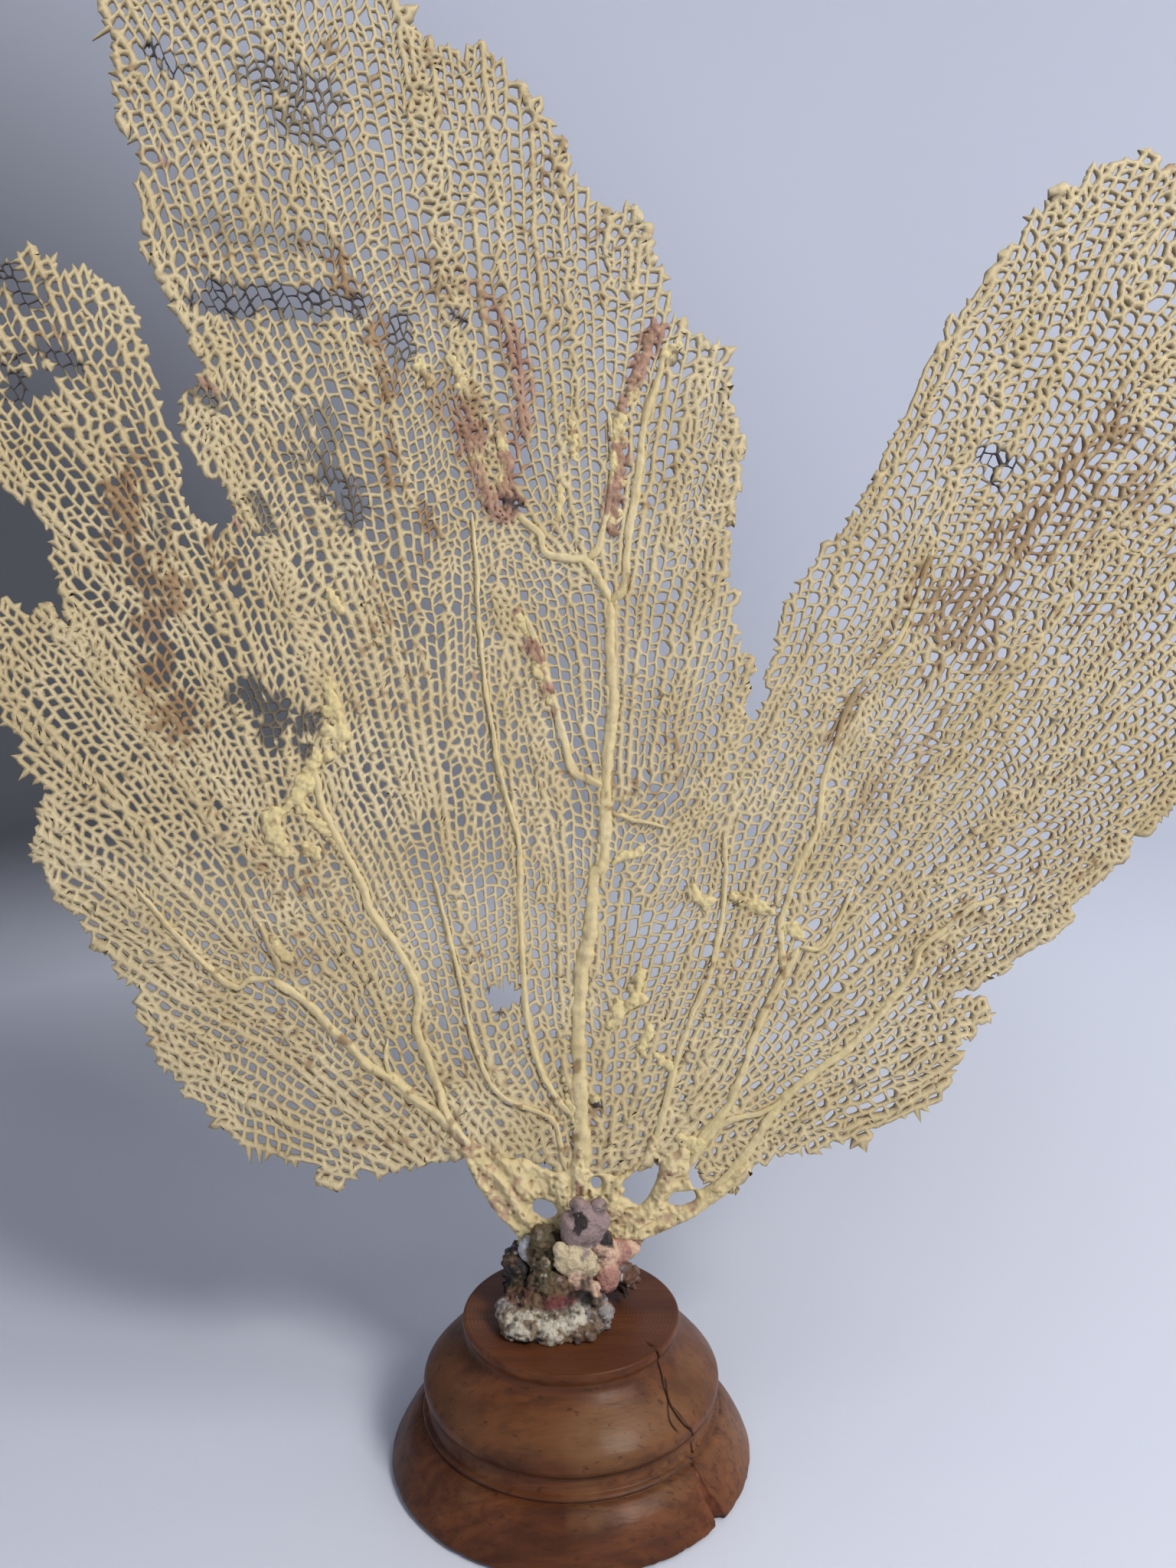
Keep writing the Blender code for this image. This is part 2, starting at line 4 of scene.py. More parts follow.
import bmesh
import bpy
import numpy as np
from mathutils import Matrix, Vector
from mathutils.geometry import delaunay_2d_cdt


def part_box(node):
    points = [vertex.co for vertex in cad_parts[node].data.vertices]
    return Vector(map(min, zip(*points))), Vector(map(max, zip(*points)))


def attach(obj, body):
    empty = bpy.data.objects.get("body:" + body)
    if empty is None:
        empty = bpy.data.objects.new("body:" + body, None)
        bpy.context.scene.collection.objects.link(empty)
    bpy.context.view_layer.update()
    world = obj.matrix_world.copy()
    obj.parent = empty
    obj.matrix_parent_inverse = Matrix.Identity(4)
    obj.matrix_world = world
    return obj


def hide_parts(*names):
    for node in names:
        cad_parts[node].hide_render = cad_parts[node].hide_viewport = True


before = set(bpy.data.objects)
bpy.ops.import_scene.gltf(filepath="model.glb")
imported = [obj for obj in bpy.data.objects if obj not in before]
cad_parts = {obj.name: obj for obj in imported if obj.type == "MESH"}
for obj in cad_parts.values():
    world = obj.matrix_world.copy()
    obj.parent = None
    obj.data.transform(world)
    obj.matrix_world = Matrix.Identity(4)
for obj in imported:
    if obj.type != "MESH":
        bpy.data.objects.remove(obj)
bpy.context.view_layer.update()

MM = 0.001

# The plinth, as in the frame
PLINTH_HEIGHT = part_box("wooden_plinth")[1][2]
FOOT_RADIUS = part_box("wooden_plinth")[1][0]
TOP_RADIUS = 36.6 * MM
WAIST_RADIUS = 50.2 * MM
CRACK_AZIMUTH = math.radians(-47)

# The fan's leaning plane, drawn flat: u to the right, v up from the plinth's top, both in mm
LEAN = math.radians(7)
VIEWPOINT = np.array([5.7, -376, 275]) * MM
HUB = np.array([0, 30])

# Pixels of the photograph are read as millimetres of that drawing
PHOTO_SIZE = (1536, 2048)
PHOTO_FOOT = (746, 1710)
MM_PER_PIXEL = 0.2602

# Camera, from the ellipses of the plinth and the horizon
LENS_MM = 27.07
SENSOR_MM = 36
PITCH_DOWN = math.radians(7)

# Outlines read from the photograph, in pixels; the stretches beyond its edges are finished by guess
LOWER_LEFT_EDGE_PX = [
    (0, 788), (-24, 800), (-40, 826), (-52, 850), (-48, 872), (-60, 890), (-40, 905), (-30, 925), (0, 921),
    (31, 967), (38, 1002), (73, 1040), (57, 1063), (48, 1105), (65, 1144), (92, 1186), (107, 1193),
    (122, 1224), (149, 1247), (172, 1274), (187, 1297), (180, 1327), (199, 1354), (214, 1380), (234, 1402),
    (249, 1428), (272, 1451), (295, 1471), (323, 1494), (364, 1509), (410, 1514), (424, 1526), (415, 1543),
    (438, 1540), (467, 1526), (507, 1529), (516, 1517), (565, 1520), (570, 1506), (599, 1503),
]
LEFT_NOTCH_EDGE_PX = [(115, 847), (101, 847), (77, 817), (59, 797), (42, 820), (31, 813), (19, 794), (0, 788)]
FINGER_EDGE_PX = [
    (115, 847), (103, 828), (92, 794), (80, 759), (71, 732), (92, 729), (80, 713), (57, 683), (42, 656),
    (11, 637), (0, 602), (-20, 580), (-32, 545), (-44, 505), (-58, 460), (-50, 420), (-40, 385), (-20, 362),
    (0, 345), (14, 352), (29, 323), (44, 313), (57, 342), (92, 373), (109, 350), (126, 373), (153, 376),
    (165, 392), (178, 434), (189, 468), (197, 499), (210, 537), (222, 583), (230, 637), (249, 675),
    (283, 706),
]
FINGER_FOOT_PX = [(283, 706), (256, 795), (192, 841), (115, 847)]
CENTRE_LEFT_EDGE_PX = [
    (314, 667), (302, 637), (268, 606), (245, 576), (233, 549), (245, 537), (241, 514), (279, 488),
    (264, 461), (245, 426), (222, 380), (195, 334), (187, 315), (190, 277), (181, 252), (203, 207),
    (165, 172), (149, 127), (161, 108), (144, 29), (139, 0), (140, -34), (152, -70), (172, -98),
    (206, -124), (240, -142), (281, -165), (330, -172), (369, -173), (410, -165), (438, -150), (462, -122),
    (488, -88), (505, -44), (519, 0),
]
CENTRE_RIGHT_EDGE_PX = [
    (519, 0), (535, 30), (550, 57), (570, 73), (586, 61), (608, 76), (620, 57), (655, 87), (660, 113),
    (707, 138), (717, 174), (737, 205), (763, 266), (799, 287), (819, 271), (845, 317), (865, 369),
    (870, 420), (911, 440), (942, 471), (952, 522), (968, 584), (958, 640), (947, 686), (942, 758),
    (957, 799), (954, 834), (976, 859), (973, 904), (967, 949), (962, 987), (957, 1044), (950, 1090),
]
RIGHT_EDGE_PX = [
    (957, 1090), (960, 1040), (967, 971), (980, 942), (996, 939), (1008, 891), (1018, 843), (1031, 789),
    (1050, 757), (1072, 725), (1104, 700), (1128, 655), (1150, 617), (1181, 541), (1223, 464), (1261, 403),
    (1303, 357), (1341, 300), (1380, 265), (1410, 242), (1464, 213), (1494, 208), (1536, 223), (1572, 240),
    (1608, 270), (1640, 318), (1660, 380), (1677, 450), (1684, 520), (1686, 600), (1680, 680), (1668, 758),
    (1650, 830), (1628, 890), (1600, 950), (1572, 985),
]
LOWER_RIGHT_EDGE_PX = [
    (1572, 985), (1536, 1034), (1503, 1073), (1477, 1092), (1465, 1118), (1436, 1147), (1398, 1175),
    (1372, 1191), (1398, 1193), (1379, 1214), (1353, 1226), (1308, 1265), (1257, 1290), (1238, 1309),
    (1273, 1306), (1296, 1309), (1276, 1338), (1247, 1366), (1244, 1386), (1230, 1414), (1221, 1431),
    (1196, 1448), (1158, 1466), (1130, 1474), (1101, 1491), (1061, 1494), (1029, 1506), (986, 1514),
    (969, 1535), (949, 1560),
]
LEFT_SEAM_PX = [
    (640, 1492), (655, 1380), (627, 1249), (596, 1118), (562, 999), (519, 880), (469, 791), (400, 741),
    (314, 667),
]
MIDDLE_SEAM_PX = [(954, 1090), (977, 1191), (950, 1299), (915, 1399), (880, 1510)]
RIGHT_SEAM_PX = [
    (915, 1516), (984, 1426), (1050, 1330), (1111, 1256), (1200, 1180), (1300, 1110), (1419, 1049),
    (1572, 985),
]

# Holes torn through the net: centre, half width and half height in pixels
TEARS_PX = [
    (57, 503, 31, 27), (310, 782, 13, 24), (655, 1300, 26, 19), (236, 936, 14, 11), (262, 700, 10, 7),
    (342, 700, 9, 8), (440, 640, 12, 10), (395, 975, 12, 8), (1040, 905, 5, 5), (20, 430, 12, 9),
]

# Ribs in pixels, each with its width in mm at the two ends
RIBS_PX = {
    "centre_branch": [
        ([(762, 1534), (759, 1452), (756, 1364), (759, 1276), (771, 1217), (776, 1144), (787, 1126),
          (792, 1021), (797, 951), (801, 916), (797, 845), (797, 786)], 6.4, 4.2),
        ([(797, 786), (782, 758), (765, 733), (744, 730), (713, 724), (702, 695), (674, 674)], 3.8, 2.6),
        ([(765, 733), (780, 719), (788, 690), (797, 646), (800, 590), (795, 540)], 3.0, 1.6),
        ([(797, 786), (815, 768), (818, 733), (822, 688), (829, 653), (836, 600), (842, 548), (858, 500),
          (872, 446)], 4.0, 2.6),
        ([(790, 1028), (766, 1016), (748, 1007), (737, 968), (727, 930), (720, 909), (702, 845),
          (685, 803)], 3.6, 2.4),
        ([(748, 1456), (730, 1437), (707, 1399), (692, 1349), (686, 1305), (682, 1247), (679, 1173),
          (677, 1100), (660, 1038), (650, 996), (643, 951), (632, 881), (625, 810), (622, 740),
          (616, 670)], 2.6, 1.5),
        ([(739, 1528), (733, 1496), (724, 1464), (706, 1452), (689, 1446), (657, 1431), (633, 1399),
          (616, 1349), (604, 1291), (585, 1215), (566, 1144)], 2.2, 1.4),
        ([(850, 1496), (862, 1467), (877, 1408), (891, 1358), (912, 1305), (930, 1261), (941, 1203),
          (947, 1144), (946, 1090)], 2.9, 1.8),
        ([(900, 1325), (923, 1285), (934, 1236), (943, 1193)], 1.8, 1.5),
        ([(800, 1063), (820, 1068), (836, 1073), (871, 1080)], 2.0, 1.3),
    ],
    "left_branch": [
        ([(619, 1502), (593, 1471), (582, 1451), (570, 1414), (556, 1377), (544, 1339), (547, 1305),
          (539, 1273), (516, 1233), (484, 1187), (470, 1150), (446, 1104), (424, 1058), (412, 1010),
          (410, 975)], 3.5, 2.8),
        ([(610, 1494), (582, 1463), (541, 1434), (513, 1408), (481, 1391), (455, 1362), (432, 1342),
          (410, 1316), (381, 1293), (355, 1278)], 4.2, 3.2),
        ([(355, 1278), (326, 1279), (312, 1288), (289, 1276), (257, 1247), (223, 1210),
          (180, 1159)], 2.6, 1.6),
        ([(361, 1276), (364, 1256), (352, 1233), (338, 1200)], 2.6, 1.5),
        ([(513, 1408), (505, 1385), (507, 1355)], 2.2, 1.4),
    ],
    "right_branch": [
        ([(906, 1494), (943, 1454), (969, 1400), (983, 1357), (1006, 1305), (1023, 1273),
          (1043, 1236)], 3.2, 2.6),
        ([(1023, 1273), (1020, 1240), (1018, 1207), (1024, 1188), (1043, 1130), (1066, 1083), (1075, 1019),
          (1091, 971), (1107, 923), (1136, 879), (1171, 837), (1193, 792), (1209, 741),
          (1219, 716)], 2.9, 1.8),
        ([(1043, 1236), (1072, 1236), (1098, 1193), (1115, 1156)], 2.0, 1.4),
    ],
    "lower_right_branch": [
        ([(929, 1557), (969, 1512), (995, 1474), (1015, 1446), (1029, 1428), (1072, 1394), (1101, 1374),
          (1124, 1351), (1152, 1319), (1173, 1293), (1193, 1265), (1201, 1239), (1230, 1216), (1264, 1187),
          (1302, 1173)], 3.9, 2.0),
        ([(897, 1525), (930, 1478), (957, 1460), (995, 1451), (1029, 1430)], 2.8, 2.2),
    ],
}

# Stained and bare stretches in pixels: two ends, half width and strength
BROWN_PX = [
    (165, 610, 175, 700, 30, 0.85), (175, 700, 205, 800, 36, 0.85), (205, 800, 215, 880, 34, 0.85),
    (200, 880, 238, 945, 32, 0.9), (440, 345, 478, 400, 26, 0.9), (470, 400, 500, 440, 22, 0.8),
    (494, 430, 506, 520, 24, 0.85), (506, 520, 512, 620, 20, 0.85), (535, 335, 575, 365, 24, 0.7),
    (560, 500, 620, 560, 24, 0.6), (640, 370, 664, 480, 18, 0.6), (516, 600, 534, 612, 12, 0.9),
    (548, 660, 562, 705, 16, 0.9), (1240, 830, 1300, 760, 46, 0.7), (1310, 740, 1370, 650, 50, 0.8),
    (1380, 640, 1460, 560, 40, 0.7), (1208, 800, 1300, 720, 30, 0.75), (1370, 690, 1500, 620, 46, 0.6),
    (1280, 860, 1300, 770, 24, 0.6), (275, 715, 310, 745, 18, 1.0), (1200, 1010, 1230, 930, 10, 0.5),
    (345, 1230, 400, 1255, 26, 0.35), (1090, 960, 1215, 730, 11, 0.7), (1110, 1090, 1180, 960, 8, 0.5),
]
RED_PX = [
    (622, 372, 668, 440, 18, 0.6), (664, 440, 684, 520, 20, 0.75), (684, 520, 672, 600, 18, 0.8),
    (668, 600, 662, 668, 18, 0.9), (600, 520, 612, 600, 16, 0.75), (612, 600, 640, 660, 18, 0.85),
    (628, 560, 690, 560, 18, 0.5),
    (856, 430, 805, 560, 13, 0.95), (815, 520, 800, 690, 13, 0.95), (676, 800, 722, 905, 9, 0.95),
    (300, 665, 312, 690, 8, 0.9), (268, 500, 280, 512, 8, 0.9), (208, 210, 218, 216, 6, 0.9),
    (618, 880, 622, 886, 4, 0.8),
    (705, 900, 722, 930, 10, 0.7), (672, 1553, 677, 1557, 7, 0.75), (790, 1640, 832, 1622, 16, 0.8),
    (755, 1542, 757, 1556, 5, 0.9), (598, 1480, 604, 1495, 5, 0.7),
]
BARE_PX = [
    (260, 385, 405, 395, 26, 1.0), (200, 58, 235, 96, 20, 1.0), (340, 92, 420, 130, 34, 0.7),
    (350, 150, 430, 190, 34, 0.6), (425, 610, 462, 668, 26, 0.85), (405, 395, 470, 402, 20, 0.9),
    (512, 410, 530, 470, 20, 0.85), (590, 410, 606, 425, 14, 0.9), (420, 545, 430, 600, 24, 0.55),
    (664, 655, 672, 664, 8, 0.9), (882, 460, 888, 468, 7, 0.9), (774, 1437, 779, 1441, 10, 1.0),
    (330, 905, 385, 950, 30, 0.85), (350, 960, 395, 975, 18, 0.8),
    (5, 355, 45, 390, 24, 1.0), (20, 470, 30, 520, 22, 1.0), (60, 460, 95, 480, 16, 1.0),
    (1282, 590, 1320, 605, 17, 1.0), (1290, 620, 1305, 640, 10, 1.0), (230, 500, 285, 530, 16, 0.7),
    (385, 560, 450, 640, 34, 0.45), (255, 300, 420, 320, 26, 0.35), (205, 640, 215, 720, 12, 0.4),
    (330, 650, 350, 690, 14, 0.6), (640, 1295, 655, 1325, 8, 0.8),
    (640, 950, 644, 1060, 3, 0.6), (612, 1526, 624, 1543, 7, 0.9), (596, 1474, 606, 1492, 5, 0.8),
]

# Chains of yellow crust over the net, in pixels: two ends and half width
CRUST_PX = {
    "left_branch": [
        (428, 890, 436, 925, 8), (436, 925, 442, 955, 12), (442, 950, 430, 978, 14),
        (420, 985, 405, 1000, 10), (408, 998, 396, 1030, 12), (396, 1030, 380, 1052, 13),
        (370, 1058, 352, 1075, 11), (352, 1075, 362, 1105, 10), (362, 1105, 375, 1116, 8),
        (395, 1055, 425, 1085, 8), (425, 1085, 448, 1116, 6), (398, 1104, 410, 1118, 8),
        (355, 1230, 380, 1250, 9),
    ],
    "centre_branch": [
        (835, 1270, 826, 1310, 11), (812, 1310, 800, 1340, 9), (846, 1345, 838, 1372, 7),
        (430, 775, 445, 795, 8), (905, 1165, 925, 1178, 9), (885, 455, 868, 470, 10),
        (800, 1125, 840, 1110, 6), (745, 545, 750, 600, 6), (735, 620, 728, 690, 5),
        (545, 475, 565, 500, 7), (590, 470, 612, 520, 7), (856, 430, 812, 540, 8), (812, 540, 800, 690, 9),
        (676, 800, 700, 860, 7), (700, 860, 722, 925, 8), (652, 560, 664, 664, 7), (606, 560, 640, 664, 6),
        (740, 1400, 752, 1470, 6), (860, 1380, 880, 1400, 7), (774, 1437, 779, 1441, 8),
    ],
    "right_branch": [(960, 1170, 1000, 1190, 8), (1020, 1205, 1048, 1222, 8), (884, 1484, 912, 1496, 10)],
}

# The root membrane above the holdfast, in pixels
ROOT_EDGE_PX = [
    (600, 1500), (606, 1512), (614, 1529), (622, 1547), (632, 1562), (645, 1580), (656, 1593), (667, 1605),
    (676, 1616), (677, 1632), (686, 1648), (697, 1646), (700, 1628), (697, 1612), (706, 1601), (713, 1611),
    (720, 1623), (730, 1618), (740, 1630), (760, 1640), (785, 1648), (806, 1652), (822, 1645), (834, 1632),
    (844, 1618), (870, 1607), (895, 1595), (915, 1583), (932, 1572), (949, 1560), (962, 1545), (972, 1530),
    (982, 1514), (968, 1517), (950, 1530), (932, 1543), (916, 1553), (903, 1546), (900, 1532), (906, 1516),
    (902, 1500), (890, 1494), (878, 1502), (868, 1497), (862, 1488), (850, 1480), (844, 1498), (834, 1513),
    (820, 1527), (806, 1534), (790, 1530), (775, 1532), (768, 1520), (766, 1496), (756, 1488), (748, 1500),
    (744, 1520), (730, 1528), (712, 1526), (697, 1518), (684, 1510), (668, 1512), (655, 1500), (645, 1506),
    (634, 1494), (622, 1488), (610, 1486),
]
ROOT_HOLES_PX = [
    [(695, 1571), (702, 1565), (712, 1568), (721, 1572), (727, 1580), (724, 1588), (713, 1591), (703, 1586),
     (696, 1580)],
    [(772, 1543), (776, 1537), (783, 1538), (786, 1545), (782, 1550), (775, 1550)],
    [(856, 1505), (861, 1512), (860, 1528), (855, 1545), (848, 1560), (838, 1572), (828, 1572), (820, 1566),
     (812, 1562), (817, 1554), (812, 1548), (824, 1534), (838, 1523), (848, 1511)],
    [(872, 1568), (880, 1557), (893, 1556), (905, 1555), (909, 1563), (902, 1570), (888, 1574), (876, 1573)],
]
ROOT_RIDGES_PX = [
    [(606, 1500), (625, 1543), (650, 1582), (672, 1610)],
    [(619, 1498), (640, 1530), (668, 1560), (690, 1598)],
    [(650, 1498), (672, 1530), (688, 1560)],
    [(757, 1480), (757, 1535), (750, 1566), (742, 1590)],
    [(724, 1520), (734, 1550), (740, 1580)],
    [(850, 1484), (828, 1520), (805, 1546), (795, 1578)],
    [(900, 1494), (880, 1520), (866, 1560), (845, 1588), (815, 1612)],
    [(972, 1525), (940, 1556), (905, 1580), (870, 1598), (835, 1615), (810, 1635)],
]
ROOT_THICKNESS = 1.5  # mm, half of the membrane between its ridges
RIDGE_HEIGHT = 1.7
RIDGE_WIDTH = 2.6
ROOT_SPACING = 0.46
ROOT_CENTRE = (0, 18)  # mm, where its ridges point

# The holdfast: lumps at a pixel and a depth in mm, with radii in mm, then the crust's colour and roughness
BLACK, WHITE, OLIVE = (0.035, 0.028, 0.027), (0.55, 0.50, 0.39), (0.11, 0.085, 0.04)
MAUVE = (0.30, 0.215, 0.20)
BEIGE, PINK, RED, GREY = (0.60, 0.49, 0.30), (0.38, 0.19, 0.145), (0.22, 0.06, 0.05), (0.30, 0.28, 0.27)
SHELL, RUST, PALE_PINK = (0.50, 0.51, 0.55), (0.13, 0.06, 0.035), (0.60, 0.40, 0.28)
HOLDFAST_PX = [
    ((690, 1731), -14, (9.0, 7.5, 5.6), WHITE, 1.0), ((716, 1735), -15, (9.0, 6.5, 5.4), WHITE, 1.0),
    ((737, 1722), -13, (8.0, 6.5, 5.6), WHITE, 1.0), ((774, 1716), -10, (6.0, 5.0, 5.4), GREY, 1.1),
    ((757, 1738), -15, (7.0, 4.5, 3.4), RUST, 1.0), ((776, 1730), -13, (3.4, 3.6, 3.0), WHITE, 0.9),
    ((664, 1713), -9, (3.2, 3.2, 4.2), GREY, 1.3), ((675, 1700), -7, (4.0, 4.0, 4.0), RUST, 1.2),
    ((731, 1700), -12.5, (5.6, 4.6, 3.6), RED, 0.5), ((705, 1700), -9, (6.5, 6.0, 5.5), RUST, 1.1),
    ((757, 1697), -9, (6.5, 5.0, 4.6), BLACK, 1.1), ((675, 1652), 2, (4.2, 6.5, 7.0), BLACK, 1.2),
    ((680, 1676), 1, (5.6, 7.5, 6.5), BLACK, 1.2), ((709, 1622), -4, (3.6, 3.8, 6.0), OLIVE, 0.9),
    ((711, 1648), -4, (4.6, 5.0, 7.0), OLIVE, 1.0), ((714, 1675), -6, (6.0, 6.5, 6.0), OLIVE, 1.2),
    # The black lump at (730, 1640) is painted shade: a dark body set where the shadow behind the olive column
    # falls.
    ((737, 1678), -7, (6.5, 6.0, 5.0), RUST, 1.2), ((730, 1640), -1, (6.0, 4.5, 9.0), BLACK, 0.8),
    ((760, 1608), -5.5, (6.8, 4.6, 6.6), MAUVE, 0.5), ((745, 1596), -5.5, (3.6, 3.6, 4.0), MAUVE, 0.5),
    ((764, 1588), -6, (5.0, 4.0, 4.8), MAUVE, 0.5), ((754, 1574), -6, (2.8, 3.0, 2.8), MAUVE, 0.5),
    ((783, 1574), -6, (2.9, 3.0, 2.7), MAUVE, 0.5), ((781, 1594), -5, (3.6, 3.6, 4.6), MAUVE, 0.5),
    ((746, 1647), -9.5, (5.6, 1.2, 5.0), BEIGE, 0.6), ((764, 1652), -9, (5.4, 1.4, 5.2), BEIGE, 0.6),
    ((733, 1634), -9.6, (2.4, 1.1, 2.6), BEIGE, 0.5), ((757, 1668), -9.5, (5.0, 2.2, 3.0), PALE_PINK, 0.6),
    ((768, 1682), -10, (4.0, 2.4, 3.0), PALE_PINK, 0.7), ((776, 1700), -10, (2.6, 2.4, 3.8), PINK, 0.8),
    ((749, 1684), -11, (4.0, 2.2, 2.0), PINK, 0.6), ((785, 1636), -3, (5.6, 4.4, 5.2), PALE_PINK, 0.7),
    ((804, 1636), -0.5, (5.4, 3.0, 4.4), PINK, 0.6), ((820, 1630), 0.5, (4.0, 1.8, 2.6), PALE_PINK, 0.5),
    ((788, 1660), -2, (5.0, 6.0, 6.5), PINK, 0.7), ((795, 1664), 4, (5.0, 5.5, 5.0), GREY, 1.1),
    ((812, 1668), 6, (4.8, 5.5, 4.8), RUST, 1.2), ((688, 1628), -2.5, (2.4, 2.2, 4.4), SHELL, 0.5),
    ((696, 1640), -3.5, (1.8, 1.8, 3.4), SHELL, 0.5), ((792, 1616), -3.5, (2.4, 2.4, 2.4), BLACK, 0.8),
    ((740, 1665), 3, (13, 9, 9), BLACK, 0.8), ((735, 1690), -3, (14, 8, 6), RUST, 0.9),
]
OCHRE = (0.16, 0.10, 0.05)
CRUMBS = 9.0  # small growths on a lump for each mm of its size
CRUMB_COLOURS = (WHITE, WHITE, BLACK, BLACK, RUST, GREY, OLIVE)
HOLDFAST_VOXEL = 0.46  # mm, the finest form that the fused lumps keep
CRUST_VOXEL = 0.48
BALL_DETAIL = 3  # how often an icosahedron's faces are divided to make a lump round
MAUVE_STAIN_PX = ((757, 1600), -11)
MAUVE_STAIN_SIZE = 3.4  # mm

# Splits in the plinth, in pixels, each with its width and depth in mm
CRACKS_PX = [
    ([(846, 1754), (858, 1764), (861, 1786), (871, 1822), (880, 1842), (893, 1860), (902, 1868), (903, 1890),
      (904, 1914)], 0.30, 1.3),
    ([(869, 1800), (873, 1848), (884, 1868), (895, 1884), (903, 1905)], 0.24, 0.8),
    ([(880, 1838), (890, 1850), (903, 1870), (910, 1888)], 0.2, 0.4),
]
CHIP_PX = [(906, 1914), (916, 1940), (928, 1962), (942, 1986)]
CHIP_WIDTHS = (0.6, 3.0)  # mm, half the trough's width at its top and at the foot
CHIP_DEPTHS = (1.0, 4.2)
COARSE_TURN = 1.8  # degrees from one point of a turned ring to the next
FINE_TURN = 0.22  # the same beside the split

# The wood: colours, then the dark turned bands, each with its height, its reach in metres and its strength
DARK_GRAIN, LIGHT_GRAIN, STREAK = (0.048, 0.0155, 0.0075), (0.172, 0.059, 0.022), (0.055, 0.022, 0.012)
PALE_BLOTCH, RUBBED, PIT = (0.22, 0.106, 0.045), (0.170, 0.086, 0.038), (0.040, 0.018, 0.010)
# The last colour of the next line is painted shade, darkening the splits.
BAND, TOP_WOOD, PAINTED_SPLIT_SHADE = (0.040, 0.020, 0.013), (0.105, 0.034, 0.014), (0.018, 0.009, 0.006)
FRESH_WOOD, TOP_RINGS = (0.16, 0.050, 0.024), (0.045, 0.017, 0.010)
BANDS = [(0.0435, 0.0032, 0.6), (0.0238, 0.0018, 0.75), (0.0175, 0.0010, 0.45), (0.0, 0.003, 0.4)]

# The coral's colours
DULL_CREAM, BRIGHT_CREAM, CREAM_SHADOW = (0.62, 0.50, 0.28), (0.76, 0.65, 0.41), (0.52, 0.38, 0.18)
# The first colour of the next line is painted shade, laid on the walls of the strands away from their crests.
PAINTED_WALL_SHADE, YELLOW_CRUST, BARE_SKELETON = (0.23, 0.17, 0.09), (0.70, 0.58, 0.27), (0.030, 0.026, 0.032)
BROWNS = ((0.16, 0.075, 0.03), (0.30, 0.16, 0.07))
REDS = ((0.19, 0.065, 0.055), (0.42, 0.215, 0.18))

# The studio: paper, with painted shade far behind at the left and a painted shadow of the fan behind it, then
# the lamps
PAPER_LIGHT, PAPER_IN_PAINTED_SHADE = (0.74, 0.77, 0.86), (0.13, 0.135, 0.15)
PAINTED_FAR_SHADE_PLACE, PAINTED_FAR_SHADE_REACH = (-1.3, 1.65, 0.0), (0.55, 2.05)
PAINTED_FAN_SHADOW_PLACE, PAINTED_FAN_SHADOW_REACH = (-0.24, 0.4, 0), (-0.1, 0.75)
BOWL_STEPS, BOWL_WALL, BOWL_RISE = 96, 2.0, 3.2  # points round the bowl, its radius and height in metres
BOWL_LEVEL, FLOOR_LEVEL, FLOOR_HALF = -0.0002, -0.0003, 0.03
LAMPS = [
    ("key", (1.1, -1.12, 1.5), (0.05, 0, 0.3), 0.5, 28, (1, 0.97, 0.93)),
    ("sky", (0.8, -0.1, 2.3), (0, 0, 0.2), 1.8, 4, (0.95, 0.97, 1)),
    ("fill", (-1.3, -1.3, 0.9), (0, 0, 0.3), 1.4, 0.4, (0.92, 0.95, 1)),
    ("backdrop", (1.2, -0.3, 1.9), (0.9, 1.9, 0.5), 1.0, 11, (0.97, 0.98, 1)),
]
WORLD_COLOUR, WORLD_STRENGTH = (0.88, 0.92, 1, 1), 0.09

# The net
CHANNEL = (2.75, 3.6)  # mm between neighbouring veins, low in the fan and at its top
CELL = 1.3  # length of an opening along the veins, as a share of that
COARSER = (190, 400)  # mm from the hub, between which the openings widen
LINK_SLANT = 0.17  # how far a link's two ends are moved apart along the veins, as a share of CHANNEL
NET_JITTER = 0.38  # how far an opening is moved at random, as a share of CHANNEL
HALF_LINK = 0.40  # mm, half the width of a link
HALF_VEIN = 0.54
HALF_MAIN_VEIN = 1.14
MAIN_VEIN_EVERY = 3  # one vein in three is a thick one, on average
STRAND_SPREAD = (0.84, 1.2)  # by what a strand's width differs at random
KNEE_ASIDE = 0.1  # how far the knee of a long strand stands aside at most, as a share of its length
LONG_STRAND = 2.5  # mm, strands longer than this have a knee in the middle
CREST = 1.05  # mm from the middle of the sheet to the crest of a strand
SHOULDER = 0.66  # mm from the middle of the sheet to the shoulder of a strand
STRONGEST_DRAW = 30.0  # mm, how far a rib bends the veins beside it
FIRST_RADIUS = 13.0  # mm from the hub, where the channels start
WIDEST_ANGLE = math.radians(150)  # from straight up, where the outermost channels start
GROW_STEP = 0.8  # mm, by which the channels grow at a time
WAIT_SPREAD = (0.66, 1.36)  # by what the length of an opening differs at random
BRANCH_AT = 1.5  # times CHANNEL, the gap in which a new channel starts
CLOSE_AT = 0.55  # times CHANNEL, the gap at which a channel ends
FARTHEST = 540  # mm, how long they grow
SEED_REACH = 9.0  # mm, about how far beyond a lobe the openings are still laid out
CENTRE_SPLIT = 240.0  # mm up the drawing, where the centre lobe's net is parted in two pieces
ROOT_REACH = 80  # mm from the hub, inside which the strands thicken
MARGIN_REACH = 7  # mm from the outline, inside which they thicken too
NET_SEED = 11
FILLET = 0.34  # mm, by which the sharp corners of an opening are filled
MOST_SPOTS = 30  # round an opening, so that a longer loop is a margin
INSET_LIMIT = 0.8  # of the way to its middle, the farthest that an opening is closed
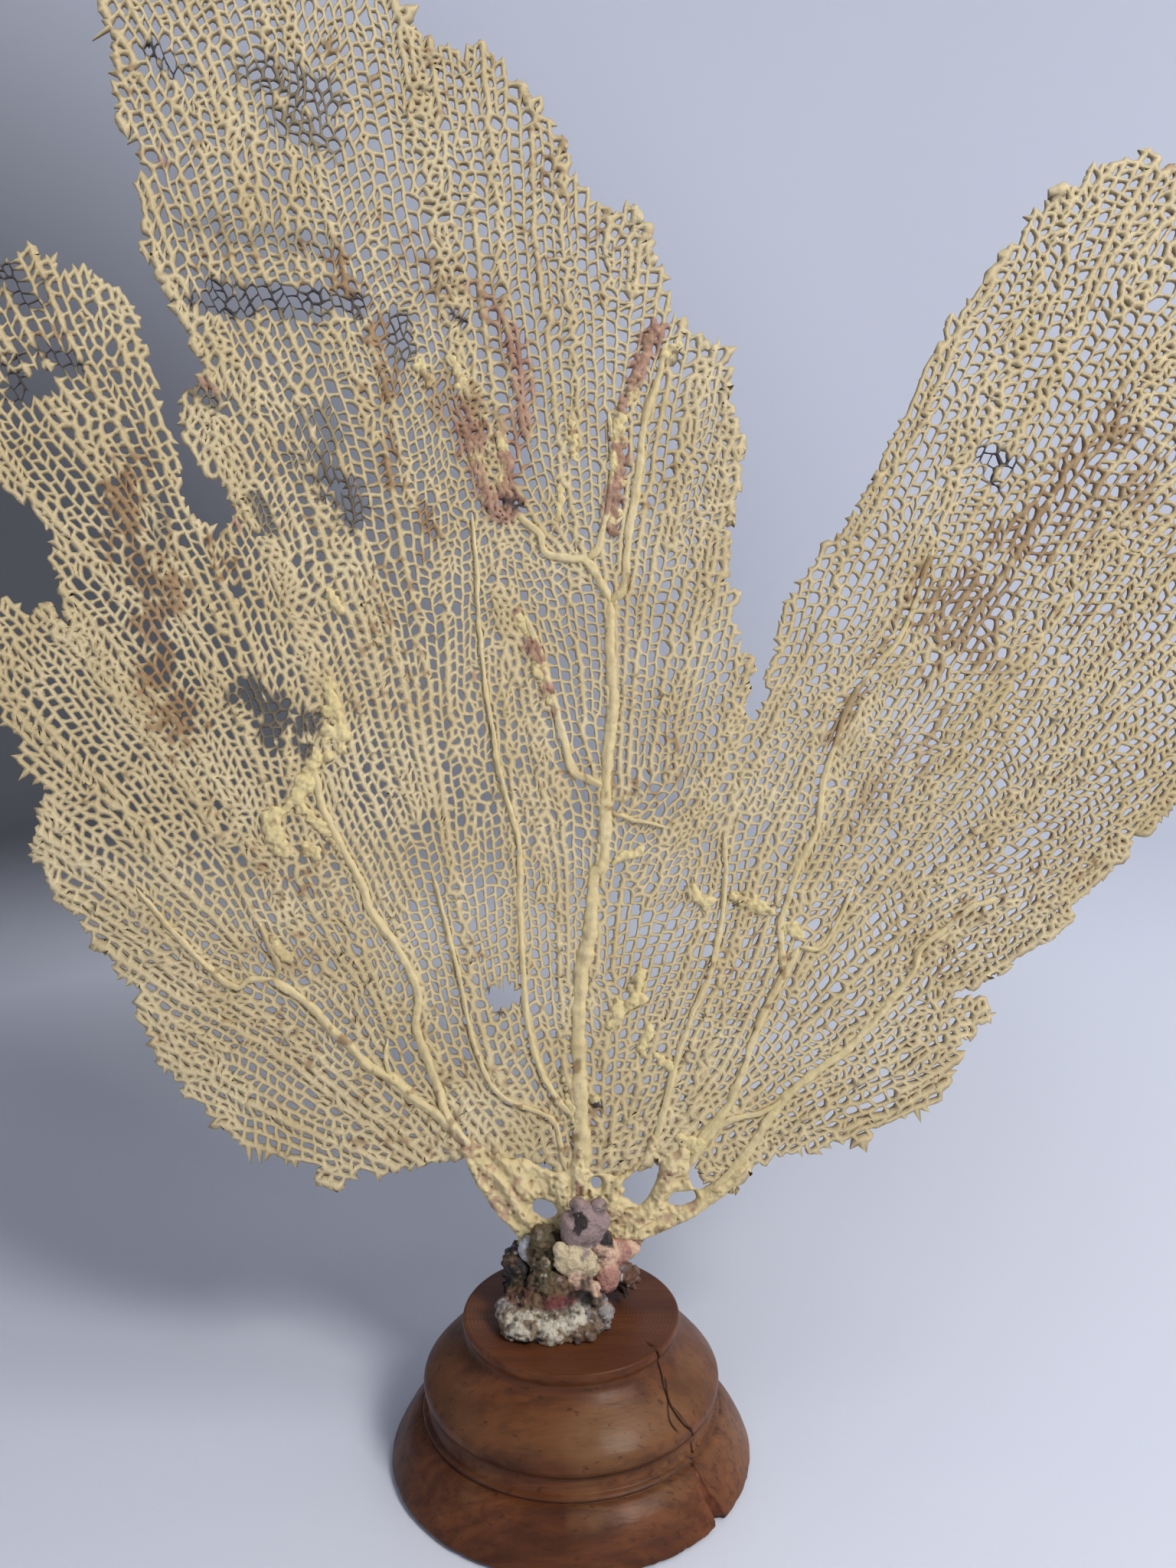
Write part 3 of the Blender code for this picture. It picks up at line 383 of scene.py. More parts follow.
THORN_SHARE = 0.8  # of the strands broken at the margin, those that leave a thorn
LONG_THORN_SHARE = 0.12  # of the thorns, those that are long
SHORT_THORNS, LONG_THORNS = (0.3, 0.95), (0.9, 1.5)  # lengths, as a share of the strand's
THORN_HALF = 0.24  # mm, half the width of a thorn's tip
THORN_CREST = 0.4  # its height, as a share of CREST
RIB_WIDTH = 0.88  # share of the widths read from the photograph that stands above the net
RIB_FRONT = 2.3  # mm, how far a rib stands out from the middle of the sheet
RIB_SPACING = 0.8  # mm between the rings of points along a rib
RIB_SIDES = 16  # points in each of those rings


def drawn(run):
    """Pixels of the photograph as millimetres of the drawing."""
    points = np.asarray(run, float)
    return np.stack([(points[:, 0] - PHOTO_FOOT[0]), (PHOTO_FOOT[1] - points[:, 1])], 1) * MM_PER_PIXEL


def smooth_run(points, spacing):
    """Evenly spaced points on a smooth curve through the given ones."""
    points = np.asarray(points, float)
    ends = np.vstack([2 * points[0] - points[1], points, 2 * points[-1] - points[-2]])
    found = []
    for p0, p1, p2, p3 in zip(ends, ends[1:], ends[2:], ends[3:]):
        t = np.linspace(0, 1, 12, endpoint=False)[:, None]
        bend = (2 * p0 - 5 * p1 + 4 * p2 - p3) * t * t + (3 * p1 - p0 - 3 * p2 + p3) * t**3
        found.append(0.5 * (2 * p1 + (p2 - p0) * t + bend))
    found = np.vstack([*found, points[-1:]])
    along = np.concatenate([[0], np.cumsum(np.linalg.norm(np.diff(found, axis=0), axis=1))])
    at = np.linspace(0, along[-1], max(3, int(along[-1] / spacing) + 1))
    return np.stack([np.interp(at, along, found[:, k]) for k in range(points.shape[1])], 1)


def lattice(cells, seed):
    """A repeatable number from 0 to 1 for each integer cell."""
    low_bits = np.uint64(0xFFFFFFFF)
    mixed = np.full(cells.shape[0], seed * 0x9E3779B1 & 0xFFFFFFFF, np.uint64)
    for k in range(cells.shape[1]):
        mixed = (mixed ^ (cells[:, k].astype(np.int64).astype(np.uint64) * np.uint64(0x85EBCA6B))) & low_bits
        mixed = (mixed * np.uint64(0xC2B2AE35)) & low_bits
        mixed = mixed ^ (mixed >> np.uint64(15))
    return (mixed & np.uint64(0xFFFFFF)).astype(float) / 0xFFFFFF


def soft_noise(points, size, seed):
    """Smooth noise from -1 to 1 with features of this size, for points in two or three dimensions."""
    spots = np.asarray(points, float) / size
    base = np.floor(spots)
    part = spots - base
    part = part * part * (3 - 2 * part)
    dims = spots.shape[1]
    total = np.zeros(len(spots))
    for corner in range(2**dims):
        offset = np.array([(corner >> k) & 1 for k in range(dims)])
        weight = np.prod(np.where(offset, part, 1 - part), axis=1)
        total += weight * lattice(base + offset + 4096, seed)
    return 2 * total - 1


def inside(points, loop):
    """Which points lie inside the closed outline."""
    hit = np.zeros(len(points), bool)
    loop = np.asarray(loop, float)
    for (u0, v0), (u1, v1) in zip(loop, np.roll(loop, -1, axis=0)):
        if v0 != v1:
            crosses = (v0 > points[:, 1]) != (v1 > points[:, 1])
            hit ^= crosses & (points[:, 0] < (u1 - u0) * (points[:, 1] - v0) / (v1 - v0) + u0)
    return hit


def wander(points, size, seeds):
    """A smooth shift for each point, with one noise for each coordinate."""
    return np.stack([soft_noise(points, size, seed) for seed in seeds], 1)


def unit(ways):
    """The same directions, each with a length of one."""
    return ways / np.maximum(np.linalg.norm(ways, axis=1), 1e-9)[:, None]


def in_turn(ring):
    """Each whole number of a closed ring with the one after it."""
    ring = [int(k) for k in ring]
    return zip(ring, ring[1:] + ring[:1])


def to_segments(points, starts, ends):
    """Distance from each point to each segment, in two or three dimensions."""
    span = ends - starts
    offset = points[:, None] - starts[None]
    share = np.clip((offset * span).sum(2) / np.maximum((span**2).sum(1), 1e-9), 0, 1)
    return np.linalg.norm(offset - share[..., None] * span, axis=2)


def to_line(points, line):
    """Distance from each point to an open line."""
    return to_segments(points, line[:-1], line[1:]).min(1)


def patches(points, rows, ragged, seed):
    """How strongly the patches of a list cover each point, broken up at their edges."""
    rows = np.asarray(rows, float)
    gap = to_segments(points, drawn(rows[:, :2]), drawn(rows[:, 2:4]))
    radius = rows[:, 4] * MM_PER_PIXEL
    rough = soft_noise(points, 8, seed) + 0.8 * soft_noise(points, 3.4, seed + 1)
    rough += 0.9 * soft_noise(points, 1.5, seed + 2)
    cover = np.clip((1.05 - gap / radius + ragged * rough[:, None] - 0.3) / 0.3, 0, 1)
    return (cover * rows[:, 5]).max(1)


def bow(u, v):
    """How far the sheet stands behind its flat drawing, in mm, as in the frame."""
    left = np.maximum(0, -u) / 170
    right = np.maximum(0, u) / 200
    ripple = 3.5 * np.sin(u / 52 + 0.6) * np.sin(v / 95 - 0.4)
    return (ripple - 15 * left**2 - 5 * right**2) * np.clip((v - 40) / 120, 0, 1)


def flat_to_sheet(points):
    """Places in metres of points of the drawing, on the leaning and bowed sheet."""
    u, v = points[:, 0], points[:, 1]
    flat = np.stack([u * MM, v * MM * math.sin(LEAN), PLINTH_HEIGHT + v * MM * math.cos(LEAN)], 1)
    sight = flat - VIEWPOINT
    return VIEWPOINT + sight * (1 + bow(u, v) * MM / np.linalg.norm(sight, axis=1))[:, None]


def on_sheet(points, forward):
    """Places in metres of points of the drawing, moved forward off the sheet by so many mm."""
    points = np.asarray(points, float)
    step = 0.5
    across = flat_to_sheet(points + [step, 0]) - flat_to_sheet(points - [step, 0])
    along = flat_to_sheet(points + [0, step]) - flat_to_sheet(points - [0, step])
    normal = unit(np.cross(across, along))
    return flat_to_sheet(points) + normal * (np.asarray(forward, float) * MM)[..., None]


def lobe_outlines():
    """The closed outline of each lobe, in mm of the drawing."""
    left_seam, middle_seam, right_seam = drawn(LEFT_SEAM_PX), drawn(MIDDLE_SEAM_PX), drawn(RIGHT_SEAM_PX)
    finger_foot = drawn(FINGER_FOOT_PX)
    return {
        "left_branch": np.vstack([
            drawn(LOWER_LEFT_EDGE_PX), drawn([(610, 1512), (640, 1492)]), left_seam[1:], finger_foot,
            drawn(LEFT_NOTCH_EDGE_PX)[1:],
        ]),
        "left_finger": np.vstack([drawn(FINGER_EDGE_PX), finger_foot[1:-1]]),
        "centre_branch": np.vstack([
            left_seam, drawn(CENTRE_LEFT_EDGE_PX)[1:], drawn(CENTRE_RIGHT_EDGE_PX)[1:], middle_seam[1:],
            drawn([(850, 1512), (800, 1524), (762, 1532), (720, 1520), (690, 1504)]),
        ]),
        "right_branch": np.vstack([
            right_seam, drawn(RIGHT_EDGE_PX)[-2::-1], middle_seam[1:],
        ]),
        "lower_right_branch": np.vstack([right_seam, drawn(LOWER_RIGHT_EDGE_PX)[1:]]),
    }


def rib_segments():
    """Starts and ends of the short stretches of all ribs."""
    starts, ends = [], []
    for ribs in RIBS_PX.values():
        for run, _, _ in ribs:
            points = smooth_run(drawn(run), 8)
            starts.append(points[:-1])
            ends.append(points[1:])
    return np.vstack(starts), np.vstack(ends)


def flow(points, starts, ends):
    """The direction in which the veins run: out from the hub, drawn along the ribs beside them."""
    gap = to_segments(points, starts, ends)
    pull = 1 / (1 + (gap / (0.35 * STRONGEST_DRAW)) ** 2) ** 2
    pull *= gap < STRONGEST_DRAW * 2
    mixed = unit(unit(points - HUB) * 0.35 + pull @ unit(ends - starts))
    sway = 0.16 * soft_noise(points, 34, 5)
    return unit(np.stack([mixed[:, 0] - sway * mixed[:, 1], mixed[:, 1] + sway * mixed[:, 0]], 1))


def channel_width(points):
    """Distance between neighbouring veins at each point, in mm."""
    away = np.linalg.norm(points - HUB, axis=1)
    share = np.clip((away - COARSER[0]) / (COARSER[1] - COARSER[0]), 0, 1)
    return CHANNEL[0] + (CHANNEL[1] - CHANNEL[0]) * share


def grow_channels():
    """Seeds of the net's openings and the channel of each: channels spread from the hub and branch."""
    rng = np.random.default_rng(NET_SEED)
    starts, ends = rib_segments()
    count = int(2 * WIDEST_ANGLE * FIRST_RADIUS / CHANNEL[0])
    angle = np.linspace(-WIDEST_ANGLE, WIDEST_ANGLE, count)
    front = HUB + FIRST_RADIUS * np.stack([np.sin(angle), np.cos(angle)], 1)
    channel = np.arange(count) * 1000.0
    wait = rng.uniform(0, CELL * CHANNEL[0], count)
    seeds, rows = [], []
    for _ in range(int(FARTHEST / GROW_STEP)):
        front = front + GROW_STEP * flow(front, starts, ends)
        wait -= GROW_STEP
        ready = wait <= 0
        width = channel_width(front)
        scatter = rng.uniform(-NET_JITTER, NET_JITTER, (ready.sum(), 2)) * [0.5, 1]
        seeds.append(front[ready] + scatter * width[ready, None])
        rows.append(channel[ready])
        stretch = 1 + 0.3 * soft_noise(front, 17, 3)
        wait[ready] = CELL * (width * stretch)[ready] * rng.uniform(*WAIT_SPREAD, ready.sum())
        gap = np.linalg.norm(np.diff(front, axis=0), axis=1)
        wide = np.flatnonzero(gap > BRANCH_AT * width[:-1] * (1 + 0.22 * soft_noise(front[:-1], 11, 4)))
        if len(wide):
            front = np.insert(front, wide + 1, 0.5 * (front[wide] + front[wide + 1]), axis=0)
            channel = np.insert(channel, wide + 1, 0.5 * (channel[wide] + channel[wide + 1]))
            wait = np.insert(wait, wide + 1, rng.uniform(0, CELL * CHANNEL[0], len(wide)))
            gap = np.linalg.norm(np.diff(front, axis=0), axis=1)
        crowded = np.flatnonzero(gap < CLOSE_AT * channel_width(front[1:])) + 1
        if len(crowded):
            crowded = crowded[np.concatenate([[True], np.diff(crowded) > 1])]
        front, channel, wait = (np.delete(a, crowded, axis=0) for a in (front, channel, wait))
    return np.vstack(seeds), np.concatenate(rows)


def strand_key(a, b):
    """Two numbers in rising order, as the name of the strand between them."""
    return (a, b) if a < b else (b, a)


class Net:
    """The dual of the seeds: a ring of knots round each opening, with straight veins between channels."""

    def __init__(self):
        seeds, rows = grow_channels()
        near = self.near_lobes(seeds)
        seeds, rows = seeds[near], rows[near]
        corners, _, triangles, origin, _, _ = delaunay_2d_cdt([Vector(s) for s in seeds], [], [], 0, 1e-5)
        self.seeds = np.array([c[:] for c in corners])
        self.rows = rows[np.array([o[0] for o in origin])]
        tri = np.array([t for t in triangles if len(t) == 3])
        one = self.seeds[tri[:, 1]] - self.seeds[tri[:, 0]]
        two = self.seeds[tri[:, 2]] - self.seeds[tri[:, 0]]
        backward = one[:, 0] * two[:, 1] < one[:, 1] * two[:, 0]
        tri[backward] = tri[backward][:, ::-1]
        self.knots = self.place_knots(tri)
        self.link_rings(tri.tolist())

    def near_lobes(self, seeds):
        """Which seeds lie in a lobe or in the squares round one that does."""
        held = np.zeros(len(seeds), bool)
        for outline in lobe_outlines().values():
            held |= inside(seeds, outline)
        cells = {tuple(c) for c in np.floor(seeds[held] / SEED_REACH).astype(int)}
        return np.array([
            any((a + i, b + j) in cells for i in (-1, 0, 1) for j in (-1, 0, 1))
            for a, b in np.floor(seeds / SEED_REACH).astype(int)
        ])

    def place_knots(self, tri):
        """A knot in each triangle, moved so that veins run straight and links stand slanted."""
        spots, rows = self.seeds[tri], self.rows[tri]
        knots = spots.mean(1)
        for odd in range(3):
            a, b = (odd + 1) % 3, (odd + 2) % 3
            pair = (rows[:, a] == rows[:, b]) & (rows[:, odd] != rows[:, a])
            way = spots[:, a] - spots[:, b]
            way *= np.where((way * (spots[:, a] - HUB)).sum(1) < 0, -1, 1)[:, None]
            way = unit(way)
            side = np.stack([way[:, 1], -way[:, 0]], 1)
            over = spots[:, odd] - 0.5 * (spots[:, a] + spots[:, b])
            shift = side * ((over * side).sum(1) / 6)[:, None]
            turn = np.where(lattice(np.round(rows[:, [a]]), 9) > 0.5, 1.0, -1.0)
            slant = turn * np.sign((over * side).sum(1)) * LINK_SLANT * channel_width(spots[:, odd])
            knots += np.where(pair[:, None], shift + way * slant[:, None], 0)
        return knots

    def link_rings(self, tri):
        """Order the knots round each seed, and list the strands and the neighbours of each knot."""
        fans, pairs = {}, {}
        for number, (a, b, c) in enumerate(tri):
            for hub, first, last in ((a, b, c), (b, c, a), (c, a, b)):
                fans.setdefault(hub, {})[first] = (number, last)
            for one, two in ((a, b), (b, c), (c, a)):
                pairs.setdefault(strand_key(one, two), []).append(number)
        self.rings = {}
        for hub, fan in fans.items():
            start = here = next(iter(fan))
            ring = []
            while here in fan and len(ring) < len(fan):
                number, here = fan[here]
                ring.append(number)
            if here == start:
                self.rings[hub] = ring
        self.strands = {strand_key(*two): key for key, two in pairs.items() if len(two) == 2}
        self.neighbours = {}
        for a, b in self.strands:
            self.neighbours.setdefault(a, []).append(b)
            self.neighbours.setdefault(b, []).append(a)


def strand_half(net, key):
    """Half the width of the strand between two openings, in mm."""
    a, b = key
    if net.rows[a] == net.rows[b]:
        return HALF_LINK
    between = int(round(0.5 * (net.rows[a] + net.rows[b])))
    main = lattice(np.array([[between]]), 21)[0] < 1 / MAIN_VEIN_EVERY
    return HALF_MAIN_VEIN if main else HALF_VEIN


def border_loops(directed):
    """Closed loops of knots from the strands that only one of the kept openings uses."""
    onward = {}
    for a, b in directed:
        onward.setdefault(b, []).append(a)
    loops = []
    while onward:
        start = next(iter(onward))
        loop = [start]
        while True:
            here = loop[-1]
            after = onward[here].pop()
            if not onward[here]:
                del onward[here]
            if after == start:
                break
            loop.append(after)
        loops.append(loop)
    return loops


def crest_rise(half):
    """Thicker strands stand higher."""
    return 0.58 + 0.78 * half


class Strands:
    """The strands round some openings: spots with half a width and a height, and a closed loop per wall."""

    def __init__(self, net, kept, rng):
        self.net, self.rng = net, rng
        self.spots, self.half, self.crest = [], [], []
        self.number, self.middles, self.ways = {}, {}, {}
        for seed in kept:
            for a, b in in_turn(net.rings[seed]):
                self.ways.setdefault(strand_key(a, b), []).append((a, b))
        self.add_strands()
        self.loops = [self.closed(net.rings[seed]) for seed in kept]
        self.add_margin()

    def add_spot(self, spot, half, crest):
        """Add a spot and return its number."""
        self.spots.append(spot)
        self.half.append(half)
        self.crest.append(crest)
        return len(self.spots) - 1

    def add_strands(self):
        """Spots for the knots and for the middles of long strands, in random widths."""
        halves = {}
        for key in sorted(self.ways):
            seeds = self.net.strands.get(key)
            half = strand_half(self.net, seeds) if seeds else HALF_LINK
            half *= self.rng.uniform(*STRAND_SPREAD)
            start, stop = (self.net.knots[k] for k in key)
            for k in key:
                if k not in self.number:
                    self.number[k] = self.add_spot(self.net.knots[k], 0.0, 1.0)
                halves.setdefault(self.number[k], []).append(half)
            line = stop - start
            if math.hypot(*line) > LONG_STRAND:
                aside = np.array([-line[1], line[0]]) * self.rng.uniform(-KNEE_ASIDE, KNEE_ASIDE)
                middle = 0.5 * (start + stop) + aside
                self.middles[key] = self.add_spot(middle, half, crest_rise(half))
        for spot, several in halves.items():
            self.half[spot] = sum(several) / len(several)
            self.crest[spot] = crest_rise(max(several))

    def middle(self, a, b):
        """The spot in the middle of a strand, as a list, which is empty for a short one."""
        key = strand_key(a, b)
        return [self.middles[key]] if key in self.middles else []

    def closed(self, ring):
        """The loop of spots through these knots."""
        loop = []
        for a, b in in_turn(ring):
            loop += [self.number[a], *self.middle(a, b)]
        return loop

    def add_margin(self):
        """Loops round the outside, with thorns where they pass a strand that was left out."""
        border = [ways[0] for _, ways in sorted(self.ways.items()) if len(ways) == 1]
        for loop in border_loops(border):
            spiked = []
            for here, after in in_turn(loop):
                spiked += [self.number[here], *self.thorn(here), *self.middle(here, after)]
            self.loops.append(spiked)

    def thorn(self, here):
        """The tip of a broken strand at a knot and the spot to return to, or nothing."""
        outward = [n for n in self.net.neighbours.get(here, []) if strand_key(here, n) not in self.ways]
        if len(outward) != 1 or self.rng.random() >= THORN_SHARE:
            return []
        lengths = LONG_THORNS if self.rng.random() < LONG_THORN_SHARE else SHORT_THORNS
        reach = self.rng.uniform(*lengths)
        start, stop = self.net.knots[here], self.net.knots[outward[0]]
        tip = start + reach * (stop - start)
        return [self.add_spot(tip, THORN_HALF, THORN_CREST), self.number[here]]


def outline_segments():
    """Starts and ends of the short stretches of the fan's free margins."""
    runs = [drawn(run) for run in (
        LOWER_LEFT_EDGE_PX, LEFT_NOTCH_EDGE_PX, FINGER_EDGE_PX, CENTRE_LEFT_EDGE_PX, CENTRE_RIGHT_EDGE_PX,
        RIGHT_EDGE_PX, LOWER_RIGHT_EDGE_PX,
    )]
    return np.vstack([run[:-1] for run in runs]), np.vstack([run[1:] for run in runs])


def grown(strands):
    """Half the widths and the heights of the strands, thinned or thickened from zone to zone."""
    spots = np.array(strands.spots)
    bare = patches(spots, BARE_PX, 0.45, 31)
    crust = patches(spots, [(*row, 1.0) for rows in CRUST_PX.values() for row in rows], 0.3, 37)
    growth = patches(spots, RED_PX, 0.6, 53)
    grain = 1 + 0.16 * soft_noise(spots, 3.0, 41) + 0.14 * soft_noise(spots, 24, 43)
    at_margin = np.clip(1 - to_segments(spots, *outline_segments()).min(1) / MARGIN_REACH, 0, 1)
    at_root = np.clip(1 - np.linalg.norm(spots - HUB, axis=1) / ROOT_REACH, 0, 1)
    low_left = np.clip(-spots[:, 0] / 120 - 0.1, 0, 1) * np.clip((260 - spots[:, 1]) / 60, 0, 1)
    thicker = 1 + 0.9 * crust + 0.55 * growth + 0.5 * at_margin + 1.5 * at_root + 0.3 * low_left
    half = np.array(strands.half) * grain * (1 - 0.66 * bare) * thicker
    rise = np.array(strands.crest) * (1 - 0.55 * bare) * (1 + 0.5 * crust + 0.4 * growth)
    return half, rise * (1 + 0.15 * soft_noise(spots, 5, 47))


def shore_line(here, half):
    """The line inside a closed loop of spots, half a strand away from it, with filled corners."""
    back = unit(here - np.roll(here, 1, axis=0))
    onto = unit(np.roll(here, -1, axis=0) - here)
    inward = np.stack([-back[:, 1] - onto[:, 1], back[:, 0] + onto[:, 0]], 1)
    size = np.linalg.norm(inward, axis=1)
    turned = size < 0.25
    inward[turned] = back[turned]
    size[turned] = 1
    inward /= size[:, None]
    squeeze = np.clip(0.5 * np.where(turned, 2, size), 0.55, 1)
    cross = back[:, 0] * onto[:, 1] - back[:, 1] * onto[:, 0]
    fillet = np.where(cross > 0.15, FILLET, 0.0) * np.minimum(1, half / 0.5)
    inset = half / squeeze + fillet
    if len(here) < MOST_SPOTS:
        inset = np.minimum(inset, INSET_LIMIT * np.linalg.norm(here - here.mean(0), axis=1))
    return here + inward * inset[:, None]


def thicken(strands):
    """The strands' skin: points of the drawing, heights off the sheet, faces and nearness to the crest."""
    spots = np.array(strands.spots)
    half, rise = grown(strands)
    count = len(spots)
    points, forward = [spots, spots], [CREST * rise, -CREST * rise]
    share, faces = [np.ones(2 * count)], []
    base = 2 * count
    for loop in strands.loops:
        ids = np.array(loop)
        n = len(ids)
        ring = base + np.arange(n)
        shore = shore_line(spots[ids], half[ids])
        points += [shore, shore]
        forward += [SHOULDER * rise[ids], -SHOULDER * rise[ids]]
        share.append(np.zeros(2 * n))
        ids_next, ring_next = np.roll(ids, -1), np.roll(ring, -1)
        faces.append(np.stack([ids, ids_next, ring_next, ring], 1))
        faces.append(np.stack([ring, ring_next, ring_next + n, ring + n], 1))
        faces.append(np.stack([ring + n, ring_next + n, ids_next + count, ids + count], 1))
        base += 2 * n
    return np.vstack(points), np.concatenate(forward), np.vstack(faces), np.concatenate(share)


def place_object(name, data):
    """Put a mesh, a lamp or a camera into the scene."""
    obj = bpy.data.objects.new(name, data)
    bpy.context.scene.collection.objects.link(obj)
    return obj


def add_values(mesh, attributes):
    """Write the named numbers at the mesh's points, for its material."""
    for key, values in attributes.items():
        layer = mesh.attributes.new(key, "FLOAT", "POINT")
        layer.data.foreach_set("value", np.asarray(values, np.float32))


def smooth_over(mesh):
    """Shade all faces of a mesh smooth."""
    mesh.polygons.foreach_set("use_smooth", np.ones(len(mesh.polygons), bool))
    mesh.update()


def mesh_object(name, places, faces, attributes=None):
    """A smooth object from places in metres, lists of point numbers and numbers for its material."""
    mesh = bpy.data.meshes.new(name)
    mesh.from_pydata(places.tolist(), [], faces)
    add_values(mesh, attributes or {})
    smooth_over(mesh)
    return place_object(name, mesh)


def ring_faces(rings, around):
    """Four-sided faces between closed rings of points, which are numbered ring by ring."""
    here = np.arange(around)
    after = np.roll(here, -1)
    wall = np.stack([here, after, after + around, here + around], 1)
    return np.vstack([wall + k * around for k in range(rings - 1)])


def coral_attributes(points, share):
    """What the coral's material needs to know at each point of the drawing."""
    specks = soft_noise(points, 2.4, 57) + 0.5 * soft_noise(points, 30, 58)
    brown = patches(points, BROWN_PX, 0.7, 51)
    return {
        "brown": np.maximum(brown, np.clip((specks - 0.86) / 0.12, 0, 0.75)),
        "red": patches(points, RED_PX, 0.6, 53),
        "bare": patches(points, BARE_PX, 0.45, 31),
        "crest": share,
    }


def finish_piece(obj, look, slot, *nodes):
    """Give a piece its material and its body, and hide the solids that it stands for, if any; the slot is not
    used.
    """
    obj.data.materials.append(look)
    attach(obj, "root")
    if nodes:
        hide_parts(*nodes)


def make_net(look):
    """The net of each lobe, with its real openings and tears."""
    net = Net()
    rng = random.Random(NET_SEED)
    tears = np.array(TEARS_PX, float)
    middle, size = drawn(tears[:, :2]), tears[:, 2:] * MM_PER_PIXEL
    torn = (((net.seeds[:, None] - middle) / size) ** 2).sum(2).min(1) < 1
    free = np.array([len(net.rings.get(k, ())) > 2 for k in range(len(net.seeds))]) & ~torn
    for number, (name, outline) in enumerate(lobe_outlines().items()):
        mine = inside(net.seeds, outline) & free
        free &= ~mine
        strands = Strands(net, np.flatnonzero(mine).tolist(), rng)
        points, forward, faces, share = thicken(strands)
        forward *= 1 + 0.015 * number  # strands shared by two lobes don't lie in one another's faces
        for part, some in split_faces(name, points, faces):
            used, local = np.unique(some, return_inverse=True)
            piece = mesh_object(
                f"{part}_net", on_sheet(points[used], forward[used]), local.reshape(some.shape).tolist(),
                coral_attributes(points[used], share[used]),
            )
            finish_piece(piece, look, "coral", name)


def split_faces(name, points, faces):
    """A lobe's faces under the name of their piece, with the large centre lobe in two pieces."""
    if name != "centre_branch":
        return [(name, faces)]
    low = points[faces[:, 0], 1] < CENTRE_SPLIT
    return [("centre_branch_lower", faces[low]), ("centre_branch_upper", faces[~low])]


def rib_arrays(run, widths, front, seed):
    """A lumpy, grooved rib that stands this far out at the front, as points, heights and faces."""
    way = unit(np.gradient(run, axis=0))
    side = np.stack([-way[:, 1], way[:, 0]], 1)
    turn = np.linspace(0, 2 * math.pi, RIB_SIDES, endpoint=False)
    lumps = 1 + 0.2 * soft_noise(run, 5, seed) + 0.14 * soft_noise(run, 2.2, seed + 1)
    radius = 0.5 * widths * lumps
    grooves = 1 + 0.09 * np.sin(4 * turn[None] + 3 * soft_noise(run, 9, seed + 2)[:, None])
    across = radius[:, None] * np.cos(turn) * grooves
    forward = np.maximum(0.42, front - 0.85 * radius)
    out = forward[:, None] + radius[:, None] * np.sin(turn) * 0.85 * grooves
    flat = run[:, None] + side[:, None] * across[..., None]
    skin = np.concatenate([flat, out[..., None]], 2).reshape(-1, 3)
    wrinkle = 0.16 * soft_noise(skin, 1.9, seed + 3) + 0.1 * soft_noise(skin, 0.9, seed + 4)
    swell = 1 + wrinkle.reshape(out.shape)
    flat = run[:, None] + side[:, None] * (across * swell)[..., None]
    out = forward[:, None] + (out - forward[:, None]) * swell
    return flat.reshape(-1, 2), out.reshape(-1), ring_faces(len(run), RIB_SIDES)


def make_ribs(look):
    """The raised ribs that run out from the root over the front of the net."""
    for name, ribs in RIBS_PX.items():
        parts, base = [], 0
        for number, (run, start, stop) in enumerate(ribs):
            line = smooth_run(drawn(run), RIB_SPACING)
            line[1:-1] += 0.22 * wander(line[1:-1], 3.5, (64, 65))
            taper = np.linspace(0, 1, len(line))
            ends = np.minimum(1, 0.25 + np.minimum(taper, 1 - taper) * len(line) / 5)
            widths = RIB_WIDTH * (start + (stop - start) * taper) * ends
            points, lift, faces = rib_arrays(line, widths, RIB_FRONT * np.sqrt(ends), 60 + 5 * number)
            parts.append((points, lift, faces + base))
            base += len(points)
        points, lift, faces = (np.concatenate(arrays) for arrays in zip(*parts))
        # On the ribs the crest share only varies at random, so the coral's painted wall shade gives them a
        # random mottle.
        attributes = coral_attributes(points, np.clip(0.8 + 0.3 * soft_noise(points, 1.6, 67), 0, 1))
        attributes["bare"] *= 0.4
        attributes["crust"] = np.clip(0.45 + 0.3 * soft_noise(points, 4, 66), 0, 1)
        piece = mesh_object(f"{name}_ribs", on_sheet(points, lift), faces.tolist(), attributes)
        finish_piece(piece, look, "coral")


